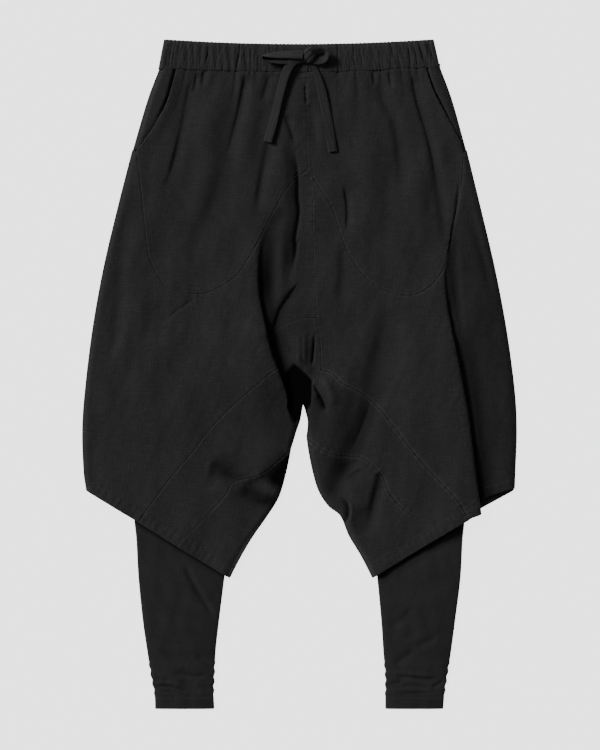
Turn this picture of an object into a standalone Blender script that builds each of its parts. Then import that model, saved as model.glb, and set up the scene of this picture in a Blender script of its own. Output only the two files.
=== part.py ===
"""Harem trousers laid flat, face up: a wide woven shell with a dropped crotch, a gathered waistband with a
drawstring bow, and a close jersey legging coming out of each leg.

Every sheet is first drawn flat, as a cutter would draw it, in millimetres: `across` runs from the centre
line to the right as seen from above, `down` runs from the top of the waistband to the legging hems.
drape() then says where each flat point lies once the trousers are laid out. The floor is z = 0.
"""

import math
import random

import bmesh
import bpy
import numpy as np
from mathutils import Matrix, Vector
from mathutils.geometry import delaunay_2d_cdt

# Driving sizes, in millimetres.
MM = 0.001
LENGTH = 1001.0
CLOTH = 1.2
JERSEY = 1.0
BAND_WALL = 1.6
SEAM_GAP = 0.3
TAPE_WIDTH = 13.5
TAPE_THICK = 1.6

# How the front wall lies over the back wall: heights of the middle of the wall.
EDGE_HEIGHT = 2.0
LOFT = 3.6
EDGE_ROLL = 9.0
RELIEF_FADE = 24.0

# Spacing of the points that each sheet is built from.
COARSE = 21.0
SEAM_STEP = 14.0
GATHER_STEP = 8.0
FOLD_STEP_ALONG = 15.0
GATHER_ROWS = (9.0, 20.0, 36.0)
GATHER_DEPTH = 44.0

# Seam and edge lines, as (across, down). Each is a smooth curve through its points.
LINES = {
    "waist_left": [(-185, 46), (-89, 48), (9, 49)],
    "waist_right": [(9, 49), (98, 48), (189, 46)],
    "side_left_high": [(-216, 46), (-230, 89), (-251, 164)],
    "side_right_high": [(214, 46), (229, 89), (250, 164)],
    "side_left": [(-251, 164), (-274, 254), (-295, 344), (-311, 434), (-322, 524), (-326, 584), (-324, 644),
                  (-320, 674)],
    "side_right": [(250, 164), (272, 254), (293, 344), (310, 434), (322, 524), (325, 584), (323, 644),
                   (322, 670)],
    "pocket_left": [(-185, 46), (-193, 73), (-199, 92), (-209, 112), (-221, 133), (-245, 166)],
    "pocket_right": [(189, 46), (199, 73), (208, 91), (224, 120), (239, 149), (245, 167)],
    "tip_left": [(-251, 164), (-245, 166)],
    "tip_right": [(245, 167), (250, 164)],
    "centre_high": [(9, 49), (10, 89), (10, 149), (12, 194)],
    "centre_low": [(12, 194), (19, 232), (20, 287), (25, 415)],
    "centre_crotch": [(25, 415), (31, 457), (32, 493)],
    "crotch": [(32, 493), (22, 527), (6, 545)],
    "yoke_seam_left": [(-245, 166), (-239, 209), (-230, 296), (-223, 331), (-203, 365), (-176, 377),
                       (-146, 379), (-121, 370), (-95, 352), (-77, 326), (-59, 292), (-43, 262), (-25, 230),
                       (-10, 209), (12, 194)],
    "yoke_seam_right": [(12, 194), (31, 223), (49, 253), (65, 301), (80, 331), (100, 356), (127, 374),
                        (161, 382), (187, 374), (208, 352), (221, 313), (230, 265), (241, 226), (245, 167)],
    "diagonal_left": [(25, 415), (10, 416), (-8, 419), (-25, 427), (-30, 443), (-25, 462), (-15, 478),
                      (-19, 488), (-32, 494), (-46, 501), (-59, 511), (-95, 542), (-130, 577), (-164, 620),
                      (-199, 662), (-242, 721)],
    "diagonal_right": [(32, 493), (49, 499), (65, 514), (91, 527), (118, 550), (143, 581), (173, 620),
                       (208, 659), (236, 689), (252, 718)],
    "inseam_left_high": [(6, 545), (0.5, 551), (-3, 567), (-7, 584), (-13, 610)],
    "inseam_left_low": [(-13, 610), (-20, 644), (-31, 682), (-49, 712), (-70, 742), (-88, 772), (-105, 805)],
    "inseam_right_high": [(6, 545), (11, 551), (10.5, 570), (10, 593)],
    "inseam_right_low": [(10, 593), (13, 614), (19, 644), (28, 674), (43, 697), (61, 712), (74, 742),
                         (92, 772), (109, 805)],
    "inner_seam_left": [(-13, 610), (-25, 623), (-52, 641), (-77, 655), (-98, 661), (-107, 676), (-121, 694),
                        (-136, 709), (-184, 757)],
    "inner_seam_right": [(10, 593), (26, 608), (49, 620), (74, 623), (95, 626), (122, 650), (133, 676),
                         (148, 695), (161, 706), (200, 730), (212, 742)],
    "hem_left_outer": [(-320, 674), (-242, 721)],
    "hem_left_middle": [(-242, 721), (-184, 757)],
    "hem_left_inner": [(-184, 757), (-105, 805)],
    "hem_right_inner": [(212, 742), (109, 805)],
    "hem_right_middle": [(252, 718), (212, 742)],
    "hem_right_outer": [(322, 670), (280, 684), (259, 706), (252, 718)],
}

# The front pieces of the shell: the lines round each, a minus turning one round.
PIECES = {
    "yoke_left": ("waist_left", "centre_high", "-yoke_seam_left", "-pocket_left"),
    "yoke_right": ("waist_right", "pocket_right", "-yoke_seam_right", "-centre_high"),
    "leg_left": ("yoke_seam_left", "centre_low", "diagonal_left", "-hem_left_outer", "-side_left",
                 "tip_left"),
    "leg_right": ("yoke_seam_right", "tip_right", "side_right", "hem_right_outer", "-diagonal_right",
                  "-centre_crotch", "-centre_low"),
    "gusset_left": ("diagonal_left", "hem_left_middle", "-inner_seam_left", "-inseam_left_high", "-crotch",
                    "-centre_crotch"),
    "gusset_right": ("diagonal_right", "hem_right_middle", "-inner_seam_right", "-inseam_right_high",
                     "-crotch"),
    "inner_leg_left": ("inner_seam_left", "hem_left_inner", "-inseam_left_low"),
    "inner_leg_right": ("inner_seam_right", "hem_right_inner", "-inseam_right_low"),
}
ROLLED = (
    ("side_left_high", "side_left"),
    ("side_right_high", "side_right"),
    ("inseam_left_high", "inseam_left_low"),
    ("inseam_right_high", "inseam_right_low"),
)

# Folds where the cloth on the left laps over the cloth on its right: the middle of each fold, half its
# width, how far the cloth swings either way, its height, how far it fades at either end, and how far the
# lift spreads to the left.
FOLDS = {
    "crotch": dict(line=[(-48, 280), (-56, 310), (-63, 340), (-66, 372), (-50, 458), (-17, 534)], half=16.0,
                   swing=14.0, height=8.0, fade=(55, 44), spread=75.0),
    "side": dict(line=[(241, 232), (236, 268), (229, 313), (221, 352), (223, 410), (237, 496), (258, 646),
                       (266, 706), (270, 730)],
                 half=14.0, swing=12.0, height=7.0, fade=(200, 0), spread=80.0),
    "centre": dict(line=[(-13, 118), (-6, 205), (-6, 265), (-16, 356), (-31, 398)], half=9.0, swing=2.4,
                   height=4.0, fade=(50, 50), spread=40.0),
}

# Soft ridges (plus) and troughs (minus): the line along each, its half width and its height.
CREASES = (
    # the left front, from the waist down
    dict(line=[(-173, 76), (-191, 178), (-212, 239)], width=11, height=-4.5),
    dict(line=[(-83, 55), (-106, 140), (-154, 275), (-181, 350)], width=14, height=-5.0),
    dict(line=[(-55, 160), (-62, 236)], width=10, height=-4.2),
    dict(line=[(-140, 60), (-150, 200), (-168, 300)], width=22, height=3.6),
    dict(line=[(-62, 60), (-84, 190), (-118, 330)], width=20, height=3.4),
    dict(line=[(-232, 200), (-240, 300)], width=20, height=2.2),
    dict(line=[(-256, 370), (-282, 480)], width=17, height=4.2),
    dict(line=[(-218, 400), (-238, 560)], width=14, height=-2.5),
    dict(line=[(-205, 422), (-150, 378)], width=8, height=2.2),
    dict(line=[(-190, 400), (-200, 620)], width=60, height=3.4),
    dict(line=[(-115, 420), (-120, 560)], width=40, height=2.2),
    # the right front
    dict(line=[(142, 105), (151, 215)], width=11, height=-3.9),
    dict(line=[(175, 105), (196, 194), (218, 307)], width=11, height=-4.8),
    dict(line=[(60, 225), (70, 286), (62, 405)], width=11, height=-4.2),
    dict(line=[(112, 70), (118, 210), (128, 330)], width=20, height=3.4),
    dict(line=[(166, 90), (176, 240), (184, 340)], width=14, height=2.5),
    dict(line=[(92, 250), (84, 420)], width=16, height=2.2),
    dict(line=[(134, 385), (108, 485), (77, 577), (48, 670)], width=17, height=-7.0),
    dict(line=[(84, 400), (62, 480), (36, 590)], width=17, height=3.6),
    dict(line=[(172, 400), (158, 500), (120, 600)], width=26, height=4.2),
    dict(line=[(195, 500), (225, 640)], width=34, height=2.2),
    dict(line=[(296, 470), (300, 640)], width=14, height=2.2),
    # the middle and the crotch hollow
    dict(line=[(-20, 300), (-6, 470)], width=26, height=-3.1),
    dict(line=[(2, 225), (4, 330)], width=10, height=2.2),
    dict(line=[(-12, 498), (12, 506), (13, 536)], width=15, height=-8.4),
    dict(line=[(33, 484), (39, 520), (34, 562)], width=8, height=3.8),
    dict(line=[(8, 430), (6, 486)], width=13, height=3.1),
    dict(line=[(46, 520), (43, 565)], width=7, height=-4.2),
    # above the hems, and where the cloth stands over the leggings
    dict(line=[(-140, 625), (-89, 658), (-36, 692)], width=12, height=-6.4),
    dict(line=[(-112, 690), (-60, 716)], width=14, height=2.5),
    dict(line=[(112, 655), (102, 735)], width=9, height=-5.6),
    dict(line=[(60, 694), (88, 706)], width=8, height=-5.6),
    dict(line=[(84, 650), (78, 720)], width=12, height=3.4),
    dict(line=[(-310, 634), (-20, 812)], width=54, height=4.9),
    dict(line=[(310, 634), (20, 812)], width=54, height=4.9),
    # the lips of the pocket mouths
    dict(line=[(-183, 40), (-197, 92), (-216, 133), (-250, 172)], width=7, height=2.0),
    dict(line=[(187, 40), (206, 91), (236, 149), (250, 174)], width=7, height=2.0),
)
GATHERS = dict(seed=5, first=-178, last=184, pitch=16.0, width=5.2, depth=(1.6, 3.6), length=(28, 66))

# The back's own hem, a little short of the front's except at the right side, where it shows below it.
BACK_HEM_LEFT = [(-107, 795), (-319.5, 667)]
BACK_HEM_RIGHT = [(321.5, 674), (272, 701), (111, 795)]
BACK_SEAM = 6.0
BACK_INSET = 0.5

# Waistband: the height of the middle of its wall at rows from top to bottom, and its gathers.
BAND_TOP = dict(ends=0.5, middle=6.0)
BAND_LEFT = (-203.0, -211.5)
BAND_RIGHT = (200.0, 209.5)
BAND_ROWS = (
    dict(part=0.0, height=5.0, wave=0.45),
    dict(part=0.22, height=6.6, wave=0.9),
    dict(part=0.78, height=6.6, wave=1.0),
    dict(part=1.0, height=5.0, wave=0.8),
)
BAND_GATHERS = dict(seed=11, count=52, unevenness=0.4)
BAND_FLOOR_COLUMNS = 22

# Leggings: the edges of each tube, as (across, down), and its sections: where each crosses the middle of the
# leg, how much it slants to follow the hem above it, its height, and how far wrinkles push its edges out.
LEGGING_EDGES = {
    "left": (
        [(-254, 650), (-248, 719), (-245, 750), (-242, 805), (-235.5, 869), (-229, 914), (-223, 952),
         (-218, 979), (-217, 1001)],
        [(-80, 690), (-98, 719), (-108, 762), (-113, 805), (-121, 869), (-126, 914), (-128, 952), (-129, 979),
         (-128, 1001)],
    ),
    "right": (
        [(90, 690), (104, 719), (111, 762), (116, 805), (122, 869), (125, 914), (128, 952), (128, 979),
         (128, 1001)],
        [(253, 650), (247, 719), (244, 750), (241, 805), (233, 869), (227, 914), (221, 952), (217, 979),
         (215, 1001)],
    ),
}
LEGGING_ROWS = (
    dict(down=702, slant=0.6, height=2.8, push=0.0),
    dict(down=730, slant=0.6, height=2.8, push=0.0),
    dict(down=759, slant=0.6, height=3.0, push=0.0),
    dict(down=772, slant=0.6, height=3.8, push=0.0),
    dict(down=790, slant=0.55, height=4.6, push=0.0),
    dict(down=830, slant=0.35, height=5.6, push=0.0),
    dict(down=875, slant=0.15, height=6.0, push=0.0),
    dict(down=915, slant=0.0, height=6.2, push=0.0),
    dict(down=938, slant=0.0, height=6.4, push=0.4),
    dict(down=946, slant=0.05, height=5.0, push=-0.6),
    dict(down=953, slant=-0.03, height=6.8, push=0.8),
    dict(down=960, slant=0.04, height=5.0, push=-0.8),
    dict(down=967, slant=0.0, height=6.8, push=0.9),
    dict(down=974, slant=-0.04, height=4.8, push=-0.9),
    dict(down=980, slant=0.0, height=6.2, push=0.4),
    dict(down=984, slant=0.0, height=6.0, push=0.2),
    dict(down=1001, slant=0.0, height=5.2, push=0.0),
)
LEGGING_AROUND = 20
LEGGING_HELD = 1.5
LEGGING_EDGE = 1.0

# Drawstring: the middle of the tape, its height above the cloth below it, how far it is turned over, and how
# much of its width is left where the knot squeezes it.
KNOT = dict(across=14.5, down=23.5, height=13.3, size=(20.0, 24.0, 9.6))
TAPES = {
    "drawstring_tail_left": (
        dict(across=0.5, down=27.6, lift=5.0, turn=-6),
        dict(across=-9, down=31, lift=5.8, turn=-4),
        dict(across=-16.5, down=40, lift=5.6, turn=8),
        dict(across=-22.8, down=54, lift=5.0, turn=19),
        dict(across=-29.4, down=77, lift=4.4, turn=23),
        dict(across=-35, down=100, lift=4.3, turn=23),
        dict(across=-40.4, down=123, lift=4.2, turn=22),
        dict(across=-48.6, down=152, lift=4.0, turn=20),
    ),
    "drawstring_tail_right": (
        dict(across=19.5, down=37.2, lift=2.2, turn=4, wide=0.45),
        dict(across=23.5, down=46, lift=2.6, turn=6, wide=0.6),
        dict(across=27, down=57, lift=3.0, turn=8, wide=0.8),
        dict(across=32.2, down=77, lift=2.8, turn=6),
        dict(across=37.6, down=100, lift=2.6, turn=4),
        dict(across=42.6, down=126, lift=2.4, turn=1),
        dict(across=48.8, down=166.5, lift=1.45, turn=0),
    ),
    "drawstring_loop_left": (
        dict(across=2.6, down=22.4, lift=9.0, turn=12),
        dict(across=-14, down=22.2, lift=7.8, turn=26),
        dict(across=-34, down=22.4, lift=5.4, turn=36),
        dict(across=-46, down=23.0, lift=6.0, turn=50),
        dict(across=-53, down=24.0, lift=6.8, turn=66),
        dict(across=-56.6, down=26.0, lift=7.0, turn=80),
        dict(across=-54, down=28.2, lift=6.8, turn=66),
        dict(across=-47, down=29.8, lift=6.0, turn=48),
        dict(across=-34, down=30.4, lift=5.0, turn=34),
        dict(across=-24, down=30.2, lift=4.4, turn=26),
    ),
    "drawstring_loop_right": (
        dict(across=26.0, down=18.5, lift=6.8, turn=36),
        dict(across=33, down=17.6, lift=6.8, turn=44),
        dict(across=38.4, down=19.2, lift=6.8, turn=56),
        dict(across=39.6, down=23.4, lift=6.8, turn=60),
        dict(across=38, down=27.6, lift=6.2, turn=48),
        dict(across=33, down=30, lift=5.2, turn=28),
        dict(across=26.6, down=30.3, lift=4.6, turn=14),
    ),
}

FINISHES = {
    "woven_cloth": dict(colour=(0.020, 0.0205, 0.022), roughness=0.92),
    "jersey_cloth": dict(colour=(0.016, 0.0162, 0.017), roughness=0.9),
    "drawstring_tape": dict(colour=(0.024, 0.0245, 0.026), roughness=0.9),
}


def finish(name):
    """The material of that name, made on first use."""
    found = bpy.data.materials.get(name)
    if found:
        return found
    made = bpy.data.materials.new(name)
    made.use_nodes = True
    shader = made.node_tree.nodes["Principled BSDF"]
    shader.inputs["Base Color"].default_value = (*FINISHES[name]["colour"], 1.0)
    shader.inputs["Roughness"].default_value = FINISHES[name]["roughness"]
    shader.inputs["Metallic"].default_value = 0.0
    return made


def smooth_step(value):
    """0 to 1 with level ends."""
    part = np.clip(value, 0.0, 1.0)
    return part * part * (3.0 - 2.0 * part)


def curve_through(points, parts=12):
    """A smooth curve through the points: a Catmull-Rom spline, `parts` short runs for each span."""
    p = np.array(points, float)
    p = np.vstack([2 * p[0] - p[1], p, 2 * p[-1] - p[-2]])
    t = np.linspace(0, 1, parts, endpoint=False)[:, None]
    runs = []
    for a, b, c, d in zip(p, p[1:], p[2:], p[3:]):
        runs.append(0.5 * (2 * b + (c - a) * t + (2 * a - 5 * b + 4 * c - d) * t**2
                           + (3 * b - a - 3 * c + d) * t**3))
    return np.vstack([*runs, p[-2:-1]])


def measure(points, line):
    """For flat points: their distance to a line, plus on its right going down, how far along it they lie
    from 0 to 1, and the direction straight across it there."""
    start, run = line[:-1], np.diff(line, axis=0)
    length = np.linalg.norm(run, axis=1)
    reach = np.concatenate([[0], np.cumsum(length)])
    away = points[:, None] - start
    part = np.clip((away * run).sum(2) / length**2, 0, 1)
    gap = np.linalg.norm(away - part[..., None] * run, axis=2)
    near = gap.argmin(1)
    pick = np.arange(len(points)), near
    side = np.where(run[near, 1] * away[pick][:, 0] - run[near, 0] * away[pick][:, 1] >= 0, 1.0, -1.0)
    slope = np.gradient(line, axis=0)
    part = part[pick]
    ahead = slope[near] * (1 - part)[:, None] + slope[near + 1] * part[:, None]
    across = np.column_stack([ahead[:, 1], -ahead[:, 0]])
    across /= np.linalg.norm(across, axis=1)[:, None]
    return gap[pick] * side, (reach[near] + part * length[near]) / reach[-1], across


def line_length(line):
    return np.linalg.norm(np.diff(line, axis=0), axis=1).sum()


def gather_creases():
    """The short gathers that run down from the waistband, uneven in depth and length."""
    dice = random.Random(GATHERS["seed"])
    rows = []
    across = GATHERS["first"]
    while across < GATHERS["last"]:
        here = across + dice.uniform(-2.5, 2.5)
        length = dice.uniform(*GATHERS["length"])
        rows.append(dict(line=[(here, 38), (here * 1.04, 46 + length)], width=GATHERS["width"],
                         height=-dice.uniform(*GATHERS["depth"]), open_top=True))
        across += GATHERS["pitch"]
    return rows


EDGE_CURVES = [
    np.vstack([curve_through(LINES[high]), curve_through(LINES[low])[1:]]) for high, low in ROLLED
]
FOLD_CURVES = {name: curve_through(fold["line"], 4) for name, fold in FOLDS.items()}
CREASE_CURVES = [
    (row, curve_through(row["line"], 4)) for row in (*CREASES, *gather_creases())
]


def fold_strength(name, along):
    """How far a fold has opened, 0 to 1, at a place along it."""
    length = line_length(FOLD_CURVES[name])
    first, last = FOLDS[name]["fade"]
    strength = smooth_step(along * length / first)
    return strength * smooth_step((1 - along) * length / last) if last else strength


def drape(points):
    """Where flat points of the front lie once the trousers are laid out: across, down, height in mm."""
    points = np.asarray(points, float)
    relief = np.zeros(len(points))
    shift = np.zeros((len(points), 2))
    for row, line in CREASE_CURVES:
        gap, along, _ = measure(points, line)
        ends = smooth_step((1 - along) / 0.3)
        if not row.get("open_top"):
            ends = ends * smooth_step(along / 0.3)
        relief += row["height"] * np.exp(-((gap / row["width"]) ** 2)) * ends
    for name, fold in FOLDS.items():
        gap, along, across = measure(points, FOLD_CURVES[name])
        strength = fold_strength(name, along)
        half = fold["half"]
        turn = np.clip(gap / half, -1, 1)
        left = np.exp(-((np.clip(-gap - half, 0, None) / fold["spread"]) ** 2))
        relief += fold["height"] * strength * left * 0.5 * (1 - np.sin(turn * math.pi / 2))
        shift -= (fold["swing"] * strength * np.sin(math.pi * turn))[:, None] * across
    edge = np.min([np.abs(measure(points, line)[0]) for line in EDGE_CURVES], axis=0)
    relief *= smooth_step(edge / RELIEF_FADE)
    body = np.where(relief > 0, LOFT + relief, LOFT * np.exp(np.minimum(relief, 0) / LOFT))
    rise = 1 - (1 - np.clip(edge / EDGE_ROLL, 0, 1)) ** 2
    return np.column_stack([points + shift, EDGE_HEIGHT + rise * body])


def drape_facing(points):
    """The pocket facing lies under the yoke, straight on the back."""
    laid = drape(points)
    laid[:, 2] = 2.5
    return laid


def surface_normals(points, lay):
    """Straight out of the cloth at each flat point."""
    step = 0.05
    here = lay(points)
    right = lay(points + [step, 0]) - here
    down = lay(points + [0, step]) - here
    normal = np.cross(right, down)
    return normal / np.linalg.norm(normal, axis=1)[:, None]


MID_ACROSS = 0.5 * (EDGE_CURVES[0][:, 0].min() + EDGE_CURVES[1][:, 0].max())


def place(across, down, height):
    """Millimetres of the layout to metres of the part's frame."""
    return Vector(((across - MID_ACROSS) * MM, (LENGTH / 2 + 0.25 - down) * MM, height * MM))


def fold_opening(points):
    """How much finer than usual the points have to be: 1 in an open fold, 0 away from any."""
    need = np.zeros(len(points))
    for name, fold in FOLDS.items():
        gap, along, _ = measure(points, FOLD_CURVES[name])
        need = np.maximum(need, (np.abs(gap) < fold["half"] + 2) * (fold_strength(name, along) > 0.04))
    return need


def sampled(name):
    """A seam's points, closer together in folds and at the waist. Both pieces at a seam share them."""
    fine = curve_through(LINES[name], 40)
    middle = 0.5 * (fine[1:] + fine[:-1])
    step = np.full(len(middle), SEAM_STEP)
    step[middle[:, 1] < LINES["waist_left"][0][1] + 4] = GATHER_STEP
    step[fold_opening(middle) > 0] = 4.5
    need = np.linalg.norm(np.diff(fine, axis=0), axis=1) / step
    total = np.concatenate([[0], np.cumsum(need)])
    count = max(1, round(total[-1]))
    at = np.interp(np.linspace(0, total[-1], count + 1), total, np.arange(len(fine)))
    return np.column_stack([np.interp(at, np.arange(len(fine)), fine[:, k]) for k in (0, 1)])


def outline_of(names):
    """The closed outline round a piece, from its lines."""
    runs = []
    for name in names:
        points = sampled(name.lstrip("-"))
        runs.append((points[::-1] if name.startswith("-") else points)[:-1])
    return np.vstack(runs)


def set_in(outline, distance):
    """The outline moved inwards by a distance."""
    before, after = outline - np.roll(outline, 1, 0), np.roll(outline, -1, 0) - outline
    area = 0.5 * np.sum(outline[:, 0] * np.roll(outline[:, 1], -1) - outline[:, 1] * np.roll(outline[:, 0], -1))
    inward = []
    for run in (before, after):
        unit = run / np.linalg.norm(run, axis=1)[:, None]
        inward.append(np.column_stack([-unit[:, 1], unit[:, 0]]) * math.copysign(1, area))
    middle = inward[0] + inward[1]
    middle /= np.maximum((middle**2).sum(1) / 2, 0.5)[:, None]
    return outline + middle * distance


def inside(points, outline):
    """Whether flat points lie inside an outline."""
    x, y = points[:, 0][:, None], points[:, 1][:, None]
    x0, y0 = outline[:, 0], outline[:, 1]
    x1, y1 = np.roll(x0, -1), np.roll(y0, -1)
    crosses = (y0 > y) != (y1 > y)
    with np.errstate(divide="ignore", invalid="ignore"):
        at = (x1 - x0) * (y - y0) / (y1 - y0) + x0
    return (crosses & (x < at)).sum(1) % 2 == 1


def clear_of(points, outline, distance):
    """The points that lie inside the outline, further from it than the distance."""
    kept = points[inside(points, outline)]
    closed = np.vstack([outline, outline[:1]])
    return kept[np.abs(measure(kept, closed)[0]) > distance] if len(kept) else kept


def fold_points():
    """Rows of points that follow each fold, close enough together to turn its corners."""
    rows = []
    for name, fold in FOLDS.items():
        line = FOLD_CURVES[name]
        count = round(line_length(line) / FOLD_STEP_ALONG)
        runs = np.linalg.norm(np.diff(line, axis=0), axis=1)
        reach = np.concatenate([[0], np.cumsum(runs)])
        at = np.linspace(0, reach[-1], count + 1)
        middle = np.column_stack([np.interp(at, reach, line[:, k]) for k in (0, 1)])
        _, along, across = measure(middle, line)
        open_here = fold_strength(name, along) > 0.04
        for part in np.linspace(-1, 1, 9):
            rows.append((middle + across * part * fold["half"])[open_here])
    return np.vstack(rows)


def gather_points():
    """Rows of points across the gathers under the waistband."""
    across = np.arange(-184, 192, GATHER_STEP)
    waist = LINES["waist_left"][1][1]
    return np.vstack([np.column_stack([across * (1 + row * 0.0009), np.full(len(across), waist + row)])
                      for row in GATHER_ROWS])


def lattice_points():
    """An even three-way lattice over the whole front, left out where folds and gathers have their own."""
    rows = []
    for k, down in enumerate(np.arange(40, 820, COARSE * math.sqrt(3) / 2)):
        across = np.arange(-340, 340, COARSE) + (k % 2) * COARSE / 2
        rows.append(np.column_stack([across, np.full(len(across), down)]))
    points = np.vstack(rows)
    waist = LINES["waist_left"][1][1]
    return points[(fold_opening(points) < 1) & (points[:, 1] > waist + GATHER_DEPTH)]


def rolled_points():
    """A row of points just inside each edge where the cloth rolls down to the back."""
    rows = []
    for pair in ROLLED:
        line = np.vstack([sampled(pair[0]), sampled(pair[1])[1:]])
        _, _, across = measure(line, np.vstack([curve_through(LINES[pair[0]]),
                                                curve_through(LINES[pair[1]])[1:]]))
        for side in (-1, 1):
            rows.append(line + across * side * EDGE_ROLL * 0.55)
    return np.vstack(rows)


def cloth_wall(name, outline, inner, lay, thick, material):
    """One cut piece: its flat outline and inner points are joined up into triangles, laid out by `lay`,
    and given its thickness, half to either side."""
    flat = np.vstack([outline, inner])
    corners = [Vector((x, -y)) for x, y in flat]
    made = delaunay_2d_cdt(corners, [], [list(range(len(outline)))[::-1]], 1, 1e-5)
    flat = np.array([(p.x, -p.y) for p in made[0]])
    faces = made[2]
    laid = lay(flat)
    out = surface_normals(flat, lay)
    walls = [laid + out * half for half in (thick / 2, -thick / 2)]
    mesh = bmesh.new()
    upper, lower = ([mesh.verts.new(place(*p)) for p in wall] for wall in walls)
    for face in faces:
        mesh.faces.new([upper[k] for k in face])
        mesh.faces.new([lower[k] for k in reversed(face)])
    uses = {}
    for face in faces:
        for a, b in zip(face, (*face[1:], face[0])):
            uses[(a, b)] = True
    for a, b in uses:
        if (b, a) not in uses:
            mesh.faces.new([upper[b], upper[a], lower[a], lower[b]])
    return finished(name, mesh, material)


def finished(name, mesh, material):
    """Turns a bmesh into a named object with its material."""
    bmesh.ops.recalc_face_normals(mesh, faces=mesh.faces)
    data = bpy.data.meshes.new(name)
    mesh.to_mesh(data)
    mesh.free()
    data.materials.append(finish(material))
    made = bpy.data.objects.new(name, data)
    bpy.data.collections["harem_trousers"].objects.link(made)
    return made


def make_front():
    """The eight sewn pieces of the front, parted by the seam gap."""
    inner = [(rolled_points(), 2.5), (fold_points(), 1.6), (gather_points(), 3.0)]
    lattice = lattice_points()
    for name, lines in PIECES.items():
        outline = set_in(outline_of(lines), SEAM_GAP / 2)
        rows = [clear_of(points, outline, gap) for points, gap in inner]
        kept = np.zeros((0, 2))
        for points in rows:
            kept = np.vstack([kept, apart(points, kept, 3.0)])
        filling = apart(clear_of(lattice, outline, 0.42 * COARSE), kept, 0.5 * COARSE)
        cloth_wall(name, outline, np.vstack([kept, filling]), drape, CLOTH, "woven_cloth")


def apart(points, others, distance):
    """The points that keep a distance from the others."""
    if not len(points) or not len(others):
        return points
    gap = np.min(np.linalg.norm(points[:, None] - others, axis=2), axis=1)
    return points[gap > distance]


def make_facings():
    """The side pieces that show inside the pocket mouths and run on under the yoke."""
    tuck = 9.0
    for side, sign in (("left", -1), ("right", 1)):
        edge = curve_through(LINES[f"side_{side}_high"], 4)
        mouth = curve_through(LINES[f"pocket_{side}"], 2)[:-1] - [sign * tuck, 0]
        foot = LINES[f"pocket_{side}"][-1]
        outline = np.vstack([edge[:-1], [(edge[-1][0], edge[-1][1])], [(foot[0] - sign * 3, foot[1] - 2)],
                             mouth[::-1]])
        outline = set_in(outline, 1.2)
        cloth_wall(f"pocket_facing_{side}", outline, np.zeros((0, 2)), drape_facing, CLOTH, "woven_cloth")


def make_backs():
    """The two backs: flat sheets on the floor, joined at the centre-back seam."""
    sides = {
        "left": (("side_left_high", "side_left"), ("inseam_left_high", "inseam_left_low"), BACK_HEM_LEFT, -1),
        "right": (("side_right_high", "side_right"), ("inseam_right_high", "inseam_right_low"),
                  BACK_HEM_RIGHT[::-1], 1),
    }
    for side, (outer, inseam, hem, sign) in sides.items():
        edge = np.vstack([curve_through(LINES[name], 2)[:-1] for name in outer])
        inner = np.vstack([curve_through(LINES[name], 2)[:-1] for name in inseam])
        outline = np.vstack([[(BACK_SEAM, 49)], inner, hem, edge[::-1]])
        outline = set_in(outline, BACK_INSET)
        outline[0][0] = BACK_SEAM + sign * SEAM_GAP / 2
        curve = bpy.data.curves.new(f"back_{side}", "CURVE")
        curve.dimensions = "2D"
        curve.fill_mode = "BOTH"
        curve.extrude = CLOTH / 2 * MM
        spline = curve.splines.new("POLY")
        spline.points.add(len(outline) - 1)
        for point, (across, down) in zip(spline.points, outline):
            point.co = (*place(across, down, 0), 1)
        spline.use_cyclic_u = True
        curve.materials.append(finish("woven_cloth"))
        back = bpy.data.objects.new(f"back_{side}", curve)
        back.location.z = CLOTH / 2 * MM
        bpy.data.collections["harem_trousers"].objects.link(back)


def band_columns():
    """Places across the front of the waistband, from 0 to 1, with the height of the gather there: a narrow
    valley, then a rounded crest."""
    dice = random.Random(BAND_GATHERS["seed"])
    widths = [1 + BAND_GATHERS["unevenness"] * dice.uniform(-1, 1) for _ in range(BAND_GATHERS["count"])]
    total = sum(widths)
    columns = []
    at = 0.0
    for width in widths:
        depth = dice.uniform(0.5, 1.0)
        for part, height in ((0.0, -1.0), (0.22, 0.15), (0.5, 0.7), (0.78, 0.2)):
            columns.append((at + part * width / total, height * depth))
        at += width / total
    return columns


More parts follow.
